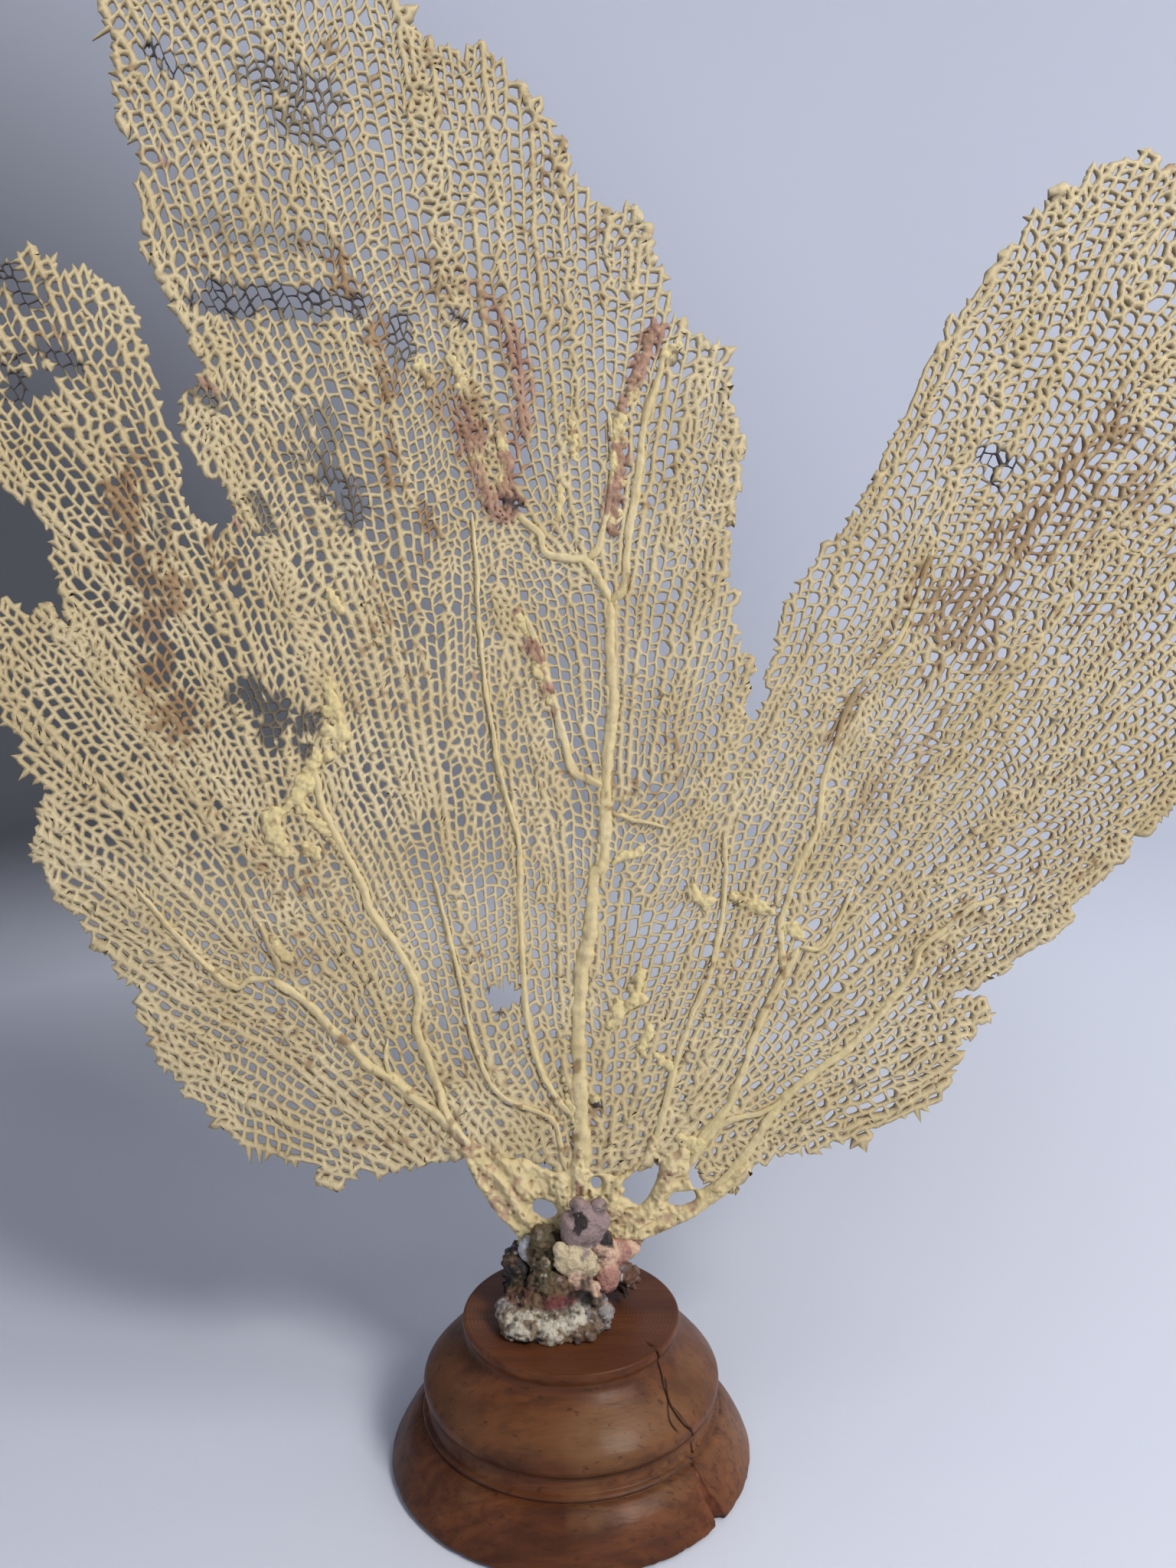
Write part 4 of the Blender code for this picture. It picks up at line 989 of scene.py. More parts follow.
class Look:
    """A material built node by node."""

    def __init__(self, name):
        self.material = bpy.data.materials.new(name)
        self.material.use_nodes = True
        self.tree = self.material.node_tree
        self.shader = self.tree.nodes["Principled BSDF"]

    def node(self, kind, **settings):
        """A new node with these socket values and settings."""
        made = self.tree.nodes.new(kind)
        for key, value in settings.items():
            if key in made.inputs.keys():
                made.inputs[key].default_value = value
            else:
                setattr(made, key, value)
        return made

    def link(self, source, target):
        self.tree.links.new(source, target)

    def place(self):
        """Where on the object a point lies."""
        return self.node("ShaderNodeTexCoord").outputs["Object"]

    def attribute(self, name):
        """The number written at the mesh's points under this name."""
        return self.node("ShaderNodeAttribute", attribute_name=name).outputs["Fac"]

    def noise(self, scale, detail=4.0, rough=0.55, warp=0.0, stretch=None):
        """Noise with so many features to a metre, stretched along the axes where that is given."""
        texture = self.node(
            "ShaderNodeTexNoise", Scale=scale, Detail=detail, Roughness=rough, Distortion=warp,
        )
        spot = self.place()
        if stretch:
            mapping = self.node("ShaderNodeMapping", Scale=stretch)
            self.link(spot, mapping.inputs["Vector"])
            spot = mapping.outputs["Vector"]
        self.link(spot, texture.inputs["Vector"])
        return texture.outputs["Fac"]

    def ramp(self, source, low, high):
        """From 0 at the first value to 1 at the second."""
        scale = self.node("ShaderNodeMapRange")
        scale.inputs["From Min"].default_value = low
        scale.inputs["From Max"].default_value = high
        self.link(source, scale.inputs["Value"])
        return scale.outputs["Result"]

    def math(self, operation, a, b):
        made = self.node("ShaderNodeMath", operation=operation)
        for socket, value in zip(made.inputs, (a, b)):
            if isinstance(value, (int, float)):
                socket.default_value = value
            else:
                self.link(value, socket)
        return made.outputs["Value"]

    def times(self, a, b):
        return self.math("MULTIPLY", a, b)

    def distance(self, place):
        """Distance in metres from a place on the object."""
        made = self.node("ShaderNodeVectorMath", operation="DISTANCE")
        self.link(self.place(), made.inputs[0])
        made.inputs[1].default_value = place
        return made.outputs["Value"]

    def mix(self, share, low, high):
        made = self.node("ShaderNodeMix", data_type="RGBA")
        sockets = (made.inputs["Factor"], made.inputs[6], made.inputs[7])
        for socket, value in zip(sockets, (share, low, high)):
            if isinstance(value, (int, float)):
                socket.default_value = value
            elif isinstance(value, tuple):
                socket.default_value = (*value, 1)
            else:
                self.link(value, socket)
        return made.outputs[2]

    def over(self, below, share, strength, colour):
        """A colour laid over another, where the share is high and as strongly as given."""
        return self.mix(self.times(share, strength), below, colour)

    def bump(self, height, strength, depth, before=None):
        """A surface that looks raised where the height is high, on top of an earlier bump."""
        made = self.node("ShaderNodeBump", Strength=strength, Distance=depth)
        self.link(height, made.inputs["Height"])
        if before is not None:
            self.link(before, made.inputs["Normal"])
        return made.outputs["Normal"]

    def relief(self, normal):
        self.link(normal, self.shader.inputs["Normal"])

    def colour(self, source):
        self.link(source, self.shader.inputs["Base Color"])

    def set(self, **values):
        for key, value in values.items():
            self.shader.inputs[key.replace("_", " ")].default_value = value


def coral_look():
    """Chalky cream coral with painted shade on the walls of its strands, brown, red or yellow where it is
    stained and dark where its skeleton is bare.
    """
    look = Look("chalky_coral")
    fine, broad = look.noise(900, 5), look.noise(38, 3)
    cream = look.mix(look.ramp(broad, 0.35, 0.68), DULL_CREAM, BRIGHT_CREAM)
    cream = look.mix(look.ramp(fine, 0.3, 0.8), look.mix(0.35, cream, CREAM_SHADOW), cream)
    # Painted shade: the walls of the strands darken away from their crests.
    wall = look.math("SUBTRACT", 1.0, look.attribute("crest"))
    body = look.over(cream, wall, 0.62, PAINTED_WALL_SHADE)
    body = look.over(body, look.attribute("crust"), 0.6, YELLOW_CRUST)
    brown = look.mix(look.ramp(look.noise(420, 4), 0.35, 0.7), *BROWNS)
    red = look.mix(look.ramp(look.noise(260, 4), 0.35, 0.7), *REDS)
    body = look.over(body, look.attribute("brown"), 0.85, brown)
    body = look.over(body, look.attribute("red"), 0.8, red)
    look.colour(look.over(body, look.attribute("bare"), 0.95, BARE_SKELETON))
    look.relief(look.bump(look.noise(500, 3), 0.6, 0.0006, look.bump(look.noise(1500, 4), 0.5, 0.0003)))
    look.set(Roughness=0.72, Specular_IOR_Level=0.3)
    return look.material


def seen(pixel, depth):
    """The place in mm, at this depth behind the plinth's axis, that the camera sees at a pixel."""
    focal = LENS_MM / SENSOR_MM * PHOTO_SIZE[1]
    right = (pixel[0] - 0.5 * PHOTO_SIZE[0]) / focal
    down = (pixel[1] - 0.5 * PHOTO_SIZE[1]) / focal
    way = np.array([
        right,
        math.cos(PITCH_DOWN) - down * math.sin(PITCH_DOWN),
        -math.sin(PITCH_DOWN) - down * math.cos(PITCH_DOWN),
    ])
    start = VIEWPOINT / MM
    return start + way * (depth - start[1]) / way[1]


def unit_ball(detail):
    """Points and triangles of a ball with a radius of one."""
    form = bmesh.new()
    bmesh.ops.create_icosphere(form, subdivisions=detail, radius=1)
    points = np.array([v.co[:] for v in form.verts])
    faces = np.array([[v.index for v in face.verts] for face in form.faces])
    form.free()
    return points, faces


def fused_balls(name, centres, radii, voxel):
    """One skin round overlapping ellipsoids, in mm, as a mesh."""
    ball, faces = unit_ball(BALL_DETAIL)
    points = [centre + ball * size for centre, size in zip(centres, radii)]
    steps = [faces + len(ball) * k for k in range(len(centres))]
    rough = bpy.data.meshes.new(name)
    rough.from_pydata(np.vstack(points).tolist(), [], np.vstack(steps).tolist())
    obj = place_object(name, rough)
    skin = obj.modifiers.new("skin", "REMESH")
    skin.mode = "VOXEL"
    skin.voxel_size = voxel
    smooth = obj.modifiers.new("smooth", "SMOOTH")
    smooth.iterations = 3
    graph = bpy.context.evaluated_depsgraph_get()
    mesh = bpy.data.meshes.new_from_object(obj.evaluated_get(graph))
    bpy.data.objects.remove(obj, do_unlink=True)
    return mesh


def mesh_arrays(mesh):
    """A mesh's points and normals."""
    points = np.empty(3 * len(mesh.vertices), np.float32)
    mesh.vertices.foreach_get("co", points)
    normals = np.empty(3 * len(mesh.vertices), np.float32)
    mesh.vertex_normals.foreach_get("vector", normals)
    return points.reshape(-1, 3).astype(float), normals.reshape(-1, 3).astype(float)


def crust_noise(points, size, seed):
    """Rough, pitted noise of several sizes, about -1 to 1."""
    coarse = soft_noise(points, size, seed)
    middle = soft_noise(points, size / 2.3, seed + 1)
    fine = soft_noise(points, size / 5, seed + 2)
    ridged = 1 - 2 * np.abs(soft_noise(points, size / 1.6, seed + 3))
    return 0.4 * coarse + 0.35 * middle + 0.2 * fine + 0.3 * ridged


def rescaled(mesh, points):
    """Move a mesh's points to these places in mm, and smooth it."""
    mesh.vertices.foreach_set("co", (points * MM).astype(np.float32).reshape(-1))
    smooth_over(mesh)


def holdfast_lumps(rng):
    """Centres, radii, colours and roughness of the lumps, and of crumbs grown over the rough ones."""
    centres = [seen(pixel, depth) for pixel, depth, _, _, _ in HOLDFAST_PX]
    radii = [np.array(size) for _, _, size, _, _ in HOLDFAST_PX]
    tints = [np.array(tint) for _, _, _, tint, _ in HOLDFAST_PX]
    roughness = [rough for _, _, _, _, rough in HOLDFAST_PX]
    for centre, size, tint, rough in list(zip(centres, radii, tints, roughness)):
        for _ in range(int(CRUMBS * max(0, rough - 0.6) * size.mean())):
            way = rng.normal(size=3)
            way /= np.linalg.norm(way)
            centres.append(centre + way * size * rng.uniform(0.9, 1.1))
            radii.append(rng.uniform(0.6, 1.7) * rng.uniform(0.45, 1.25, 3))
            other = np.array(CRUMB_COLOURS[rng.integers(len(CRUMB_COLOURS))])
            tints.append(tint + (other - tint) * rng.uniform(0.1, 0.9))
            roughness.append(0.7)
    return [np.array(values) for values in (centres, radii, tints, roughness)]


def blended(points, centres, radii, tints, roughness):
    """Colour, roughness and seams at each point, from the lumps around it."""
    moved = points + 1.5 * wander(points, 4.5, (71, 72, 73))
    moved += 0.8 * wander(points, 1.7, (81, 82, 83))
    colour, rough, seam = np.zeros((len(points), 3)), np.zeros(len(points)), np.zeros(len(points))
    for some in np.array_split(np.arange(len(points)), 30):
        depth = 1 - np.linalg.norm((moved[some, None] - centres) / radii, axis=2)
        weight = np.exp(np.clip(depth, -1, 1) * 12)
        weight /= weight.sum(1)[:, None]
        colour[some], rough[some] = weight @ tints, weight @ roughness
        two = np.partition(depth, -2, axis=1)[:, -2:]
        seam[some] = np.clip(1 - np.abs(two[:, 1] - two[:, 0]) / 0.09, 0, 1)
    return colour, rough, seam * np.clip((rough - 0.7) / 0.3, 0, 1)


def stained(points, colour, rough, seam, rise):
    """The holdfast's colours with ochre mottling and dark pits, painted shade in its hollows and along the
    seams between lumps, and one dark stain.
    """
    speckle = soft_noise(points, 1.3, 77) + 0.6 * soft_noise(points, 3.0, 78)
    mottle = np.clip((soft_noise(points, 2.8, 79) + 0.6 * soft_noise(points, 1.0, 80)) * 2.6, 0, 1)
    mottle *= np.clip((rough - 0.7) / 0.3, 0, 0.85)
    colour = colour + (np.array(OCHRE) - colour) * mottle[:, None]
    # The rise and seam terms are painted shade, in the hollows of the skin and in the crevices between lumps;
    # the speckle term is the crust's own dark pits.
    dark = np.clip((speckle * rough - 0.45) / 0.5, 0, 0.9) + np.clip(-rise / 0.75, 0, 0.95) + 0.5 * seam
    from_stain = np.linalg.norm(points - seen(*MAUVE_STAIN_PX), axis=1)
    stain = MAUVE_STAIN_SIZE > from_stain + 1.2 * speckle
    return colour * (1.08 - 0.94 * np.clip(dark + stain, 0, 1))[:, None]


def make_holdfast(look):
    """The lump that the fan grew on: shell, sponge, coralline crust and rock, grown together."""
    lumps = holdfast_lumps(np.random.default_rng(NET_SEED + 2))
    mesh = fused_balls("holdfast_crust", lumps[0], lumps[1], HOLDFAST_VOXEL)
    points, normals = mesh_arrays(mesh)
    colour, rough, seam = blended(points, *lumps)
    rise = (0.2 + 0.85 * rough) * crust_noise(points, 3.0, 75) + 1.1 * soft_noise(points, 5.5, 74)
    rise += (np.abs(soft_noise(points, 1.9, 76)) - 0.35) * np.clip(rough - 0.55, 0, 0.6) * 1.5
    moved = points + normals * rise[:, None]
    moved[:, 2] = np.maximum(moved[:, 2], PLINTH_HEIGHT / MM + 0.15)
    rescaled(mesh, moved)
    add_tint(mesh, stained(points, colour, rough, seam, rise))
    finish_piece(place_object("holdfast_crust", mesh), look, "crusted_rock", "holdfast")


def add_tint(mesh, colour):
    """Write a colour at each of the mesh's points."""
    layer = mesh.attributes.new("tint", "FLOAT_COLOR", "POINT")
    rgba = np.concatenate([colour, np.ones((len(colour), 1))], 1)
    layer.data.foreach_set("color", rgba.astype(np.float32).reshape(-1))


def jagged(loop, spacing, rough, seed):
    """A closed outline resampled evenly, with small irregular bites and points."""
    run = smooth_run(np.vstack([loop, loop[:1]]), spacing)[:-1]
    way = unit(np.roll(run, -1, axis=0) - np.roll(run, 1, axis=0))
    shift = rough * (soft_noise(run, 2.2, seed) + 0.6 * soft_noise(run, 0.9, seed + 1))
    return run + np.stack([way[:, 1], -way[:, 0]], 1) * shift[:, None]


def root_outlines():
    """The membrane's jagged edge, then its holes, in mm of the drawing."""
    holes = [jagged(drawn(hole), ROOT_SPACING, 0.22, 83 + k) for k, hole in enumerate(ROOT_HOLES_PX)]
    return [jagged(drawn(ROOT_EDGE_PX), ROOT_SPACING, 0.32, 81), *holes]


def on_root(points, loops):
    """Which points lie on the membrane, inside its edge and outside its holes."""
    held = inside(points, loops[0])
    for hole in loops[1:]:
        held &= ~inside(points, hole)
    return held


def root_sheet(loops):
    """The flat membrane as points and triangles, and how far each point is from an edge."""
    rng = np.random.default_rng(NET_SEED)
    low, high = loops[0].min(0), loops[0].max(0)
    columns, lines = (np.arange(a, b, ROOT_SPACING) for a, b in zip(low, high))
    grid = np.stack(np.meshgrid(columns, lines), -1).reshape(-1, 2)
    grid += rng.uniform(-0.2, 0.2, grid.shape) * ROOT_SPACING
    starts, ends = np.vstack(loops), np.vstack([np.roll(loop, -1, axis=0) for loop in loops])
    grid = grid[on_root(grid, loops)]
    grid = grid[to_segments(grid, starts, ends).min(1) > 0.6 * ROOT_SPACING]
    edges, base = [], 0
    for loop in loops:
        edges += in_turn(range(base, base + len(loop)))
        base += len(loop)
    everything = [Vector(p) for p in np.vstack([starts, grid])]
    corners, _, triangles, _, _, _ = delaunay_2d_cdt(everything, edges, [], 0, 1e-5)
    points = np.array([c[:] for c in corners])
    faces = np.array(triangles)
    faces = faces[on_root(points[faces].mean(1), loops)]
    return points, faces, to_segments(points, starts, ends).min(1)


def root_relief(points):
    """Ridges, pits and bumps of the membrane at each point."""
    ridges = np.zeros(len(points))
    for run in ROOT_RIDGES_PX:
        gap = to_line(points, smooth_run(drawn(run), 1.5))
        ridges = np.maximum(ridges, np.exp(-((gap / RIDGE_WIDTH) ** 2)))
    pits = np.clip((soft_noise(points, 1.5, 85) - 0.5) / 0.25, 0, 1)
    bumps = 0.4 * soft_noise(points, 3.2, 86) + 0.4 * soft_noise(points, 1.4, 87)
    bumps += 0.24 * soft_noise(points, 0.8, 90)
    arm = points - ROOT_CENTRE
    length = np.linalg.norm(arm, axis=1)
    fibres = np.stack([np.arctan2(arm[:, 0], arm[:, 1]) * 26, length / 5], 1)
    bumps += 0.75 * soft_noise(fibres, 1.0, 88) * np.clip(length / 25, 0, 1)
    return ridges, pits, bumps


def make_root_membrane(look):
    """The thick, pitted membrane in which the ribs run together, with its holes."""
    points, faces, from_edge = root_sheet(root_outlines())
    ridges, pits, bumps = root_relief(points)
    round_off = np.sqrt(1 - (1 - np.clip(from_edge / 2.2, 0, 1)) ** 2)
    front = round_off * np.maximum(0.4, ROOT_THICKNESS + RIDGE_HEIGHT * ridges + bumps - 1.0 * pits)
    back = round_off * np.maximum(0.4, ROOT_THICKNESS + 0.5 * RIDGE_HEIGHT * ridges - bumps)
    inner = from_edge >= 1e-4
    behind = np.arange(len(points))
    behind[inner] = len(points) + np.arange(inner.sum())
    places = np.vstack([on_sheet(points, front), on_sheet(points[inner], -back[inner])])
    faces = np.vstack([faces, behind[faces][:, ::-1]])
    flat = np.vstack([points, points[inner]])
    # Lower where the membrane dips, so the coral's painted wall shade darkens its hollows: painted shade.
    crest = np.clip(0.8 + 0.45 * np.concatenate([bumps, -bumps[inner]]), 0, 1)
    attributes = coral_attributes(flat, crest)
    attributes["brown"] = np.maximum(attributes["brown"], 0.55 * np.concatenate([pits, pits[inner]]))
    blush = soft_noise(flat, 4.5, 89) + 0.7 * soft_noise(flat, 1.3, 92)
    attributes["red"] = np.maximum(attributes["red"], np.clip((blush - 0.55) / 0.4, 0, 0.65))
    attributes["crust"] = np.full(len(flat), 0.5)
    membrane = mesh_object("root_membrane", places, faces.tolist(), attributes)
    finish_piece(membrane, look, "coral", "root_web")


def crust_chain(rows, rng):
    """Places in the drawing and radii in mm of small lumps, scattered along the rows of a list."""
    flat, sizes = [], []
    for x0, y0, x1, y1, radius in rows:
        start, stop = drawn([(x0, y0), (x1, y1)])
        size = radius * MM_PER_PIXEL
        count = max(4, int(5 * np.linalg.norm(stop - start) / size))
        for share in np.linspace(0, 1, count):
            flat.append(start + share * (stop - start) + rng.normal(0, 0.4 * size, 2))
            sizes.append(size * rng.uniform(0.38, 0.74))
    return np.array(flat), np.array(sizes)


def make_crust_lumps(look):
    """Yellow growths that have run over the net."""
    rng = np.random.default_rng(NET_SEED + 1)
    for name, rows in CRUST_PX.items():
        flat, sizes = crust_chain(rows, rng)
        centres = on_sheet(flat, 0.8 + 0.35 * sizes) / MM
        radii = np.stack([sizes, 0.75 * sizes, sizes], 1)
        mesh = fused_balls(f"{name}_crust", centres, radii, CRUST_VOXEL)
        points, normals = mesh_arrays(mesh)
        rise = 0.6 * crust_noise(points, 2.4, 91) + 0.3 * soft_noise(points, 1.1, 98)
        rescaled(mesh, points + normals * rise[:, None])
        nearest = np.array([np.argmin(((centres - point) ** 2).sum(1)) for point in points])
        # The crest share falls where the lumps dip, so the coral's painted wall shade darkens their hollows.
        known = coral_attributes(flat[nearest], np.clip(0.75 + 0.8 * rise, 0, 1))
        brown, bare = soft_noise(points, 1.8, 93) - 0.45, soft_noise(points, 3.1, 94) - 0.62
        known["brown"] = np.maximum(known["brown"], np.clip(brown, 0, 0.6))
        known["bare"] = np.maximum(known["bare"], np.clip(bare, 0, 0.3) * 2)
        known["crust"] = 1 - known["bare"]
        add_values(mesh, known)
        finish_piece(place_object(f"{name}_crust", mesh), look, "coral")


def plinth_outline():
    """Radius and height in mm of the turned outline, from the rim of the top down to the foot."""
    top, waist, foot = TOP_RADIUS / MM, WAIST_RADIUS / MM, FOOT_RADIUS / MM
    height = PLINTH_HEIGHT / MM
    neck = [(top, height - 0.9), (top + 0.1, height - 2), (top - 0.2, 46), (top - 1, 44.6)]
    shoulder = [
        (top - 1, 44.6), (top - 0.4, 42.6), (top + 2.4, 39.5), (waist - 5.2, 34.5), (waist - 0.9, 29.6),
        (waist - 0.2, 26.6), (waist - 0.9, 24.4), (waist - 1.9, 23.6),
    ]
    cove = [(waist - 1.9, 23.6), (waist - 2.1, 21), (waist - 1.6, 18.6)]
    bead = [(waist - 1.6, 18.6), (waist - 0.4, 18.1), (waist + 0.1, 17.3), (waist - 0.7, 16.3)]
    skirt = [
        (waist - 0.7, 16.3), (waist + 1.6, 15.4), (waist + 5.2, 11.5), (foot - 1.6, 5), (foot - 0.1, 1.6),
        (foot - 0.6, 0.5),
    ]
    runs = [(neck, 0.5), (shoulder, 0.5), (cove, 0.5), (bead, 0.3), (skirt, 0.5)]
    curves = [smooth_run(*run) for run in runs]
    return np.vstack([curves[0], *(curve[1:] for curve in curves[1:])])


def on_plinth(pixel, outline):
    """Azimuth and height where the camera's ray meets the plinth's turned side or its top."""
    start = VIEWPOINT / MM
    way = seen(pixel, 0) - start
    way /= np.linalg.norm(way)
    travel = np.arange(320, 440, 0.1)[:, None]
    ray = start + way * travel
    heights, order = np.unique(outline[:, 1], return_index=True)
    reach = np.interp(ray[:, 2], heights, outline[order, 0])
    met = (ray[:, 2] < PLINTH_HEIGHT / MM) & (np.hypot(ray[:, 0], ray[:, 1]) < reach)
    spot = ray[int(np.argmax(met))]
    return np.array([math.degrees(math.atan2(spot[1], spot[0])), spot[2], math.hypot(spot[0], spot[1])])


def plinth_profile(outline):
    """The outline with the flat top and its rounded rim before it."""
    top, height = TOP_RADIUS / MM, PLINTH_HEIGHT / MM
    radii = np.arange(1.5, top - 1, 1.4)
    flat_top = np.stack([radii, np.full(len(radii), height)], 1)
    rim = smooth_run([(top - 0.9, 49.0), (top - 0.25, 48.75), (top, 48.1)], 0.3)
    return np.vstack([flat_top, rim, outline[1:]])


def turned_points(profile, azimuths):
    """Azimuth, radius, place and outward direction of each point of the turned surface, ring by ring."""
    around = len(azimuths)
    angle = np.tile(azimuths, len(profile))
    radius, height = np.repeat(profile[:, 0], around), np.repeat(profile[:, 1], around)
    cosine, sine = np.cos(np.radians(angle)), np.sin(np.radians(angle))
    slope = unit(np.gradient(profile, axis=0))
    tilt = np.repeat(np.stack([-slope[:, 1], slope[:, 0]], 1), around, axis=0)
    places = np.stack([radius * cosine, radius * sine, height], 1)
    return angle, radius, places, np.stack([tilt[:, 0] * cosine, tilt[:, 0] * sine, tilt[:, 1]], 1)


def splits(places, angle, outline):
    """How deep the splits cut and how strongly painted shade darkens them, at each point of the plinth."""
    cut, painted_split_shade = np.zeros(len(places)), np.zeros(len(places))
    close = np.abs(angle - math.degrees(CRACK_AZIMUTH)) < 20
    for run, width, depth in CRACKS_PX:
        turn, height, reach = smooth_run([on_plinth(pixel, outline) for pixel in run], 1.2).T
        line = np.stack([reach * np.cos(np.radians(turn)), reach * np.sin(np.radians(turn)), height], 1)
        line[1:-1] += 0.25 * wander(line[1:-1], 3, (95, 96, 97))
        gap = to_line(places[close], line)
        cut[close] = np.maximum(cut[close], depth * np.exp(-((gap / width) ** 2)))
        # Painted shade along the split, a little wider than its cut.
        painted_split_shade[close] = np.maximum(painted_split_shade[close], np.exp(-((gap / (1.5 * width)) ** 2)))
    return cut, painted_split_shade


def chipped(places, angle, radius, outline):
    """How far into the chip each point of the plinth lies, and how deep the chip is there."""
    height = places[:, 2]
    chip = np.array([on_plinth(pixel, outline) for pixel in CHIP_PX])
    chip = chip[np.argsort(chip[:, 1])]
    top = chip[-1, 1]
    foot_share = np.clip((top - height) / top, 0, 1)
    centre = np.interp(height, chip[:, 1], chip[:, 0])
    half = CHIP_WIDTHS[0] + (CHIP_WIDTHS[1] - CHIP_WIDTHS[0]) * foot_share
    across = np.radians(angle - centre) * radius + 0.6 * soft_noise(places, 3, 98)
    trough = np.clip(1 - np.abs(across) / half, 0, 1) ** 0.5 * (height < top)
    splinters = 1 + 0.35 * soft_noise(places * [1, 1, 0.4], 1.3, 103) + 0.25 * soft_noise(places, 3.2, 104)
    depth = CHIP_DEPTHS[0] + (CHIP_DEPTHS[1] - CHIP_DEPTHS[0]) * foot_share**1.3
    return trough, trough * splinters * depth


def worn(places):
    """How far turning, wear and dents move each point of the plinth's side outward."""
    wear = 0.16 * soft_noise(places, 11, 99) + 0.07 * soft_noise(places, 3, 100)
    dents = -0.35 * np.clip(soft_noise(places, 4.5, 101) - 0.62, 0, 1)
    frayed = -0.35 * np.clip(soft_noise(places * [1, 1, 0.3], 1.7, 102), 0, 1)
    frayed *= np.clip((5 - places[:, 2]) / 4, 0, 1)
    return (wear + dents + frayed) * (places[:, 2] < PLINTH_HEIGHT / MM - 0.3)


def make_plinth(look):
    """The turned wooden base, with its splits and its chipped skirt."""
    outline = plinth_outline()
    near = math.degrees(CRACK_AZIMUTH)
    azimuths = [np.arange(-180, 180, COARSE_TURN), np.arange(near - 12, near + 15, FINE_TURN)]
    azimuths = np.unique(np.concatenate(azimuths).round(3))
    profile = plinth_profile(outline)
    angle, radius, places, normal = turned_points(profile, azimuths)
    cut, painted_split_shade = splits(places, angle, outline)
    trough, depth = chipped(places, angle, radius, outline)
    places += normal * (worn(places) - (cut + depth))[:, None]
    places[:, 2] = np.clip(places[:, 2], 0, PLINTH_HEIGHT / MM)
    around = len(azimuths)
    walls = np.roll(ring_faces(len(profile), around)[:, ::-1], 1, axis=1)
    last = np.arange(len(places) - around, len(places))
    centre_top, centre_foot = len(places), len(places) + 1
    foot_ring = len(places) + 2 + np.arange(around)
    foot = places[last] * [0.99, 0.99, 0]
    places = np.vstack([places, [[0, 0, PLINTH_HEIGHT / MM], [0, 0, 0]], foot])
    sole = np.stack([last, foot_ring, np.roll(foot_ring, -1), np.roll(last, -1)], 1)
    caps = [(centre_top, a, b) for a, b in in_turn(range(around))]
    caps += [(centre_foot, b, a) for a, b in in_turn(foot_ring)]
    pad = np.zeros(2 + around)
    attributes = {
        # The first of these darkens the splits with painted shade.
        "painted_split_shade": np.concatenate([painted_split_shade, pad]),
        "chip": np.concatenate([np.clip(2 * trough, 0, 1), pad]),
    }
    faces = [*walls.tolist(), *sole.tolist(), *caps]
    plinth = mesh_object("turned_plinth", places * MM, faces, attributes)
    finish_piece(plinth, look, "turned_wood", "wooden_plinth")


def crust_look():
    """Matt growths in the colours written at the points, darkened in fine pits."""
    look = Look("holdfast_growth")
    tint = look.node("ShaderNodeAttribute", attribute_name="tint").outputs["Color"]
    fine = look.noise(900, 5, 0.7)
    look.colour(look.mix(look.ramp(fine, 0.34, 0.5), look.mix(0.35, tint, (0.03, 0.022, 0.018)), tint))
    look.relief(look.bump(look.noise(800, 4), 0.9, 0.001, look.bump(look.noise(2600, 4), 0.7, 0.0003)))
    look.set(Roughness=0.7, Specular_IOR_Level=0.35)
    return look.material


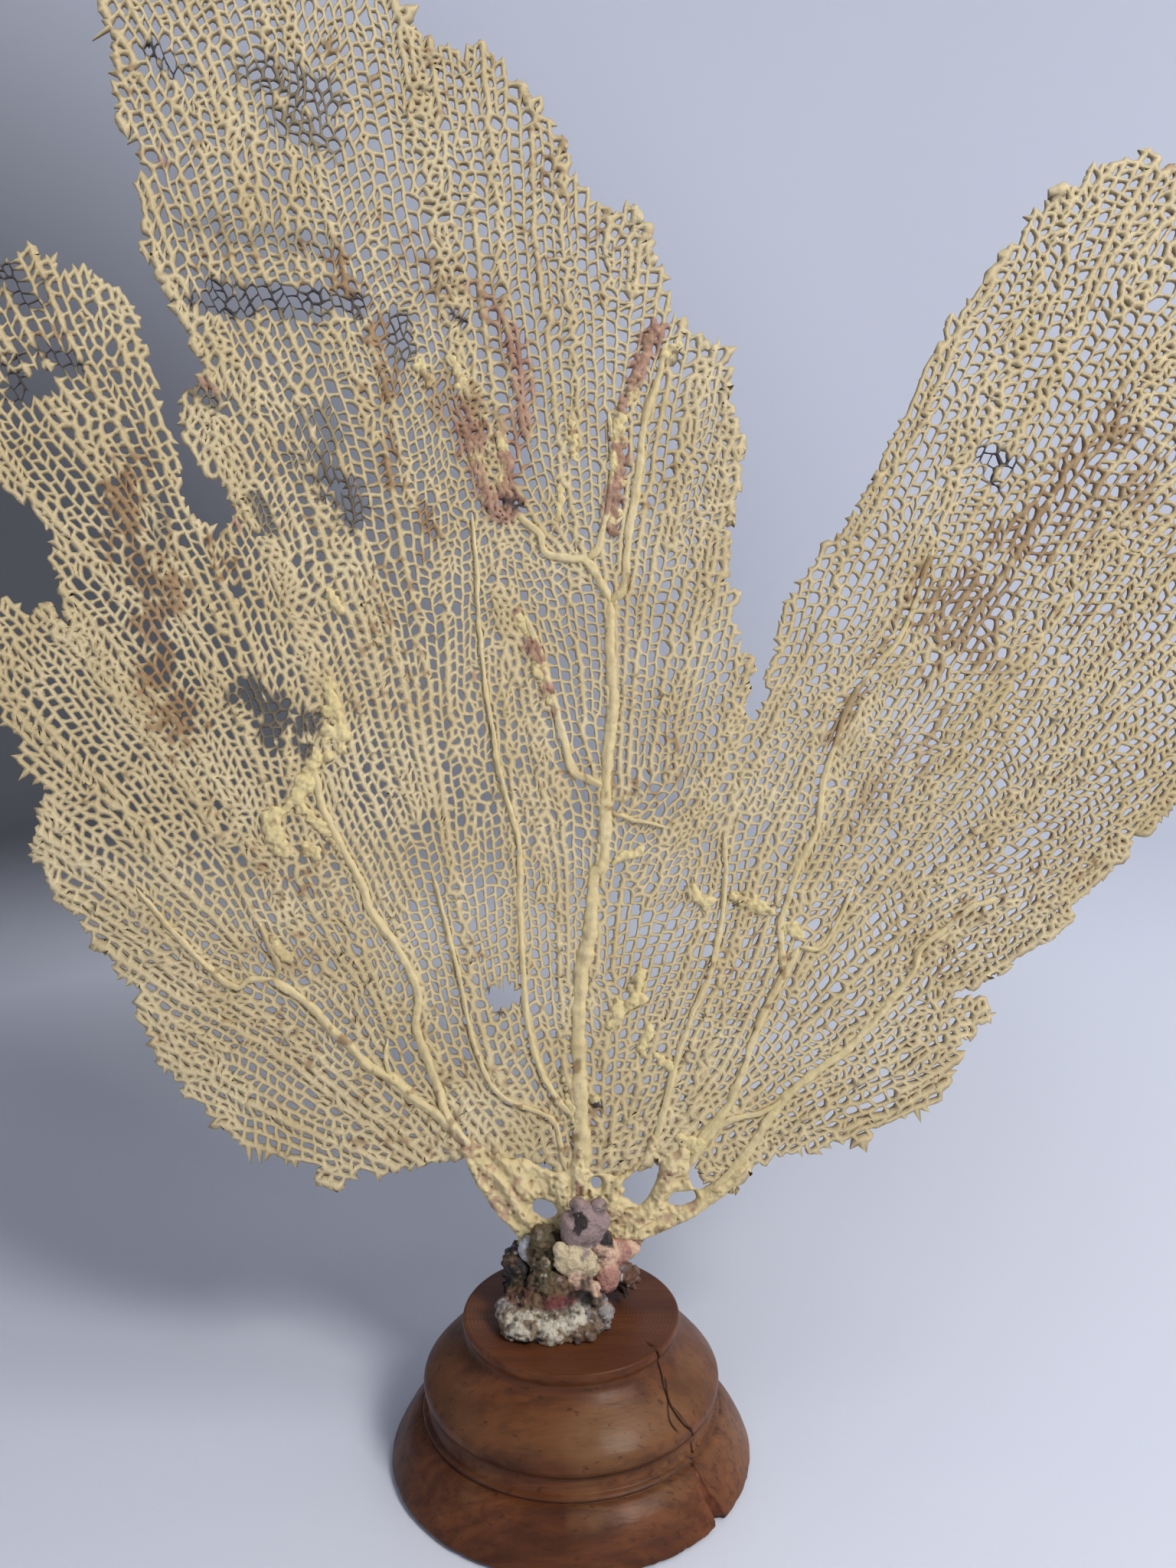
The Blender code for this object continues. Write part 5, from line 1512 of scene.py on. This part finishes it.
def wood_look():
    """Red-brown turned hardwood with grain, pits, dark bands, a rubbed shoulder, painted shade in the splits
    and a fresh chip.
    """
    look = Look("turned_hardwood")
    grain = look.noise(60, 5, 0.6, 0.6, (0.22, 1.6, 1.6))
    streaks = look.noise(420, 4, 0.6, 0.3, (0.1, 1, 1))
    blotch = look.noise(26, 3, 0.5, 0.4)
    pits = look.noise(520, 2, 0.5, 0.4, (0.5, 1, 1))
    body = look.mix(look.ramp(grain, 0.3, 0.7), DARK_GRAIN, LIGHT_GRAIN)
    body = look.over(body, look.ramp(blotch, 0.5, 0.72), 0.6, PALE_BLOTCH)
    body = look.over(body, look.ramp(streaks, 0.48, 0.66), 0.6, STREAK)
    height = look.node("ShaderNodeSeparateXYZ")
    look.link(look.place(), height.inputs["Vector"])
    level = height.outputs["Z"]
    bulge = look.times(look.ramp(level, 0.0265, 0.032), look.ramp(level, 0.0425, 0.037))
    body = look.over(body, look.times(bulge, look.ramp(blotch, 0.3, 0.62)), 0.6, RUBBED)
    body = look.over(body, look.ramp(pits, 0.64, 0.7), 0.6, PIT)
    for middle, reach, strength in BANDS:
        gap = look.math("DIVIDE", look.math("ABSOLUTE", look.math("SUBTRACT", level, middle), 0.0), reach)
        near = look.times(look.ramp(gap, 1.0, 0.0), strength)
        body = look.over(body, near, look.ramp(blotch, 0.2, 0.6), BAND)
    top = look.ramp(level, 0.0484, 0.0489)
    body = look.over(body, top, 0.5, TOP_WOOD)
    # Painted shade in the splits.
    body = look.mix(look.attribute("painted_split_shade"), body, PAINTED_SPLIT_SHADE)
    body = look.over(body, look.attribute("chip"), 0.6, FRESH_WOOD)
    rings = look.node(
        "ShaderNodeTexWave", wave_type="RINGS", rings_direction="Z", Scale=260.0, Distortion=1.5, Detail=2,
    )
    look.link(look.place(), rings.inputs["Vector"])
    turned = look.times(top, look.ramp(rings.outputs["Fac"], 0.45, 0.9))
    look.colour(look.over(body, turned, 0.35, TOP_RINGS))
    normal = look.bump(streaks, 0.35, 0.0003, look.bump(rings.outputs["Fac"], 0.14, 0.0001))
    look.relief(look.bump(look.noise(900, 4), 0.12, 0.0002, normal))
    shine = look.node("ShaderNodeMapRange")
    shine.inputs["To Min"].default_value = 0.28
    shine.inputs["To Max"].default_value = 0.46
    look.link(look.noise(120, 4), shine.inputs["Value"])
    look.link(shine.outputs["Result"], look.shader.inputs["Roughness"])
    look.set(Specular_IOR_Level=0.13)
    return look.material


def paper_look():
    """Pale blue-grey paper, with painted shade towards the back at the left and a painted shadow of the fan
    behind it.
    """
    look = Look("studio_paper")
    # Painted shade on the paper: far darkens it towards the back at the left, and behind is a painted shadow
    # of the fan.
    far = look.ramp(look.distance(PAINTED_FAR_SHADE_PLACE), *PAINTED_FAR_SHADE_REACH)
    behind = look.ramp(look.distance(PAINTED_FAN_SHADOW_PLACE), *PAINTED_FAN_SHADOW_REACH)
    for ramp in (far, behind):
        ramp.node.interpolation_type = "SMOOTHSTEP"
    behind = look.math("ADD", look.times(behind, 0.6), 0.4)
    look.colour(look.mix(look.math("MINIMUM", far, behind), PAPER_IN_PAINTED_SHADE, PAPER_LIGHT))
    look.relief(look.bump(look.noise(420, 4), 0.12, 0.0006))
    look.set(Roughness=0.9, Specular_IOR_Level=0.1)
    return look.material


def make_stage():
    """A round, seamless studio bowl of paper, and a small floor under the part."""
    bend = np.linspace(0, math.pi / 2, 12)
    curve = [(BOWL_WALL - 0.5 + 0.5 * math.sin(a), 0.5 - 0.5 * math.cos(a)) for a in bend]
    profile = [(0.02, 0), (0.2, 0), *curve, (BOWL_WALL, 1.6), (BOWL_WALL, BOWL_RISE)]
    angle = np.linspace(0, 2 * math.pi, BOWL_STEPS, endpoint=False)
    places = np.array([(r * math.cos(a), r * math.sin(a), z + BOWL_LEVEL) for r, z in profile for a in angle])
    bowl = mesh_object("studio_bowl", places, ring_faces(len(profile), BOWL_STEPS).tolist())
    corners = [(-FLOOR_HALF, -FLOOR_HALF), (FLOOR_HALF, -FLOOR_HALF), (FLOOR_HALF, FLOOR_HALF),
               (-FLOOR_HALF, FLOOR_HALF)]
    floor = mesh_object("studio_floor", np.insert(corners, 2, FLOOR_LEVEL, axis=1), [(0, 1, 2, 3)])
    paper = paper_look()
    for obj in (bowl, floor):
        obj.data.materials.append(paper)


def area_light(name, place, target, size, power, colour):
    """A square lamp that shines from a place to a target, with its side in metres and its power in watts."""
    data = bpy.data.lights.new(name, "AREA")
    data.size = size
    data.energy = power
    data.color = colour
    lamp = place_object(name, data)
    lamp.location = place
    lamp.rotation_euler = (Vector(target) - Vector(place)).to_track_quat("-Z", "Y").to_euler()



def make_lights():
    """The lamps, a dim sky all round and plain display colours."""
    for lamp in LAMPS:
        area_light(*lamp)
    world = bpy.data.worlds.new("studio")
    world.use_nodes = True
    sky = world.node_tree.nodes["Background"]
    sky.inputs["Color"].default_value = WORLD_COLOUR
    sky.inputs["Strength"].default_value = WORLD_STRENGTH
    bpy.context.scene.world = world
    bpy.context.scene.view_settings.view_transform = "Standard"


def make_camera():
    """The photograph's camera."""
    data = bpy.data.cameras.new("camera")
    data.lens = LENS_MM
    data.sensor_width = SENSOR_MM
    data.sensor_fit = "AUTO"
    data.clip_start = 0.01
    camera = place_object("camera", data)
    camera.location = Vector(VIEWPOINT)
    camera.rotation_euler = (0.5 * math.pi - PITCH_DOWN, 0, 0)
    bpy.context.scene.camera = camera


make_camera()
make_lights()
make_stage()
coral = coral_look()
make_net(coral)
make_ribs(coral)
make_crust_lumps(coral)
make_root_membrane(coral)
make_holdfast(crust_look())
make_plinth(wood_look())
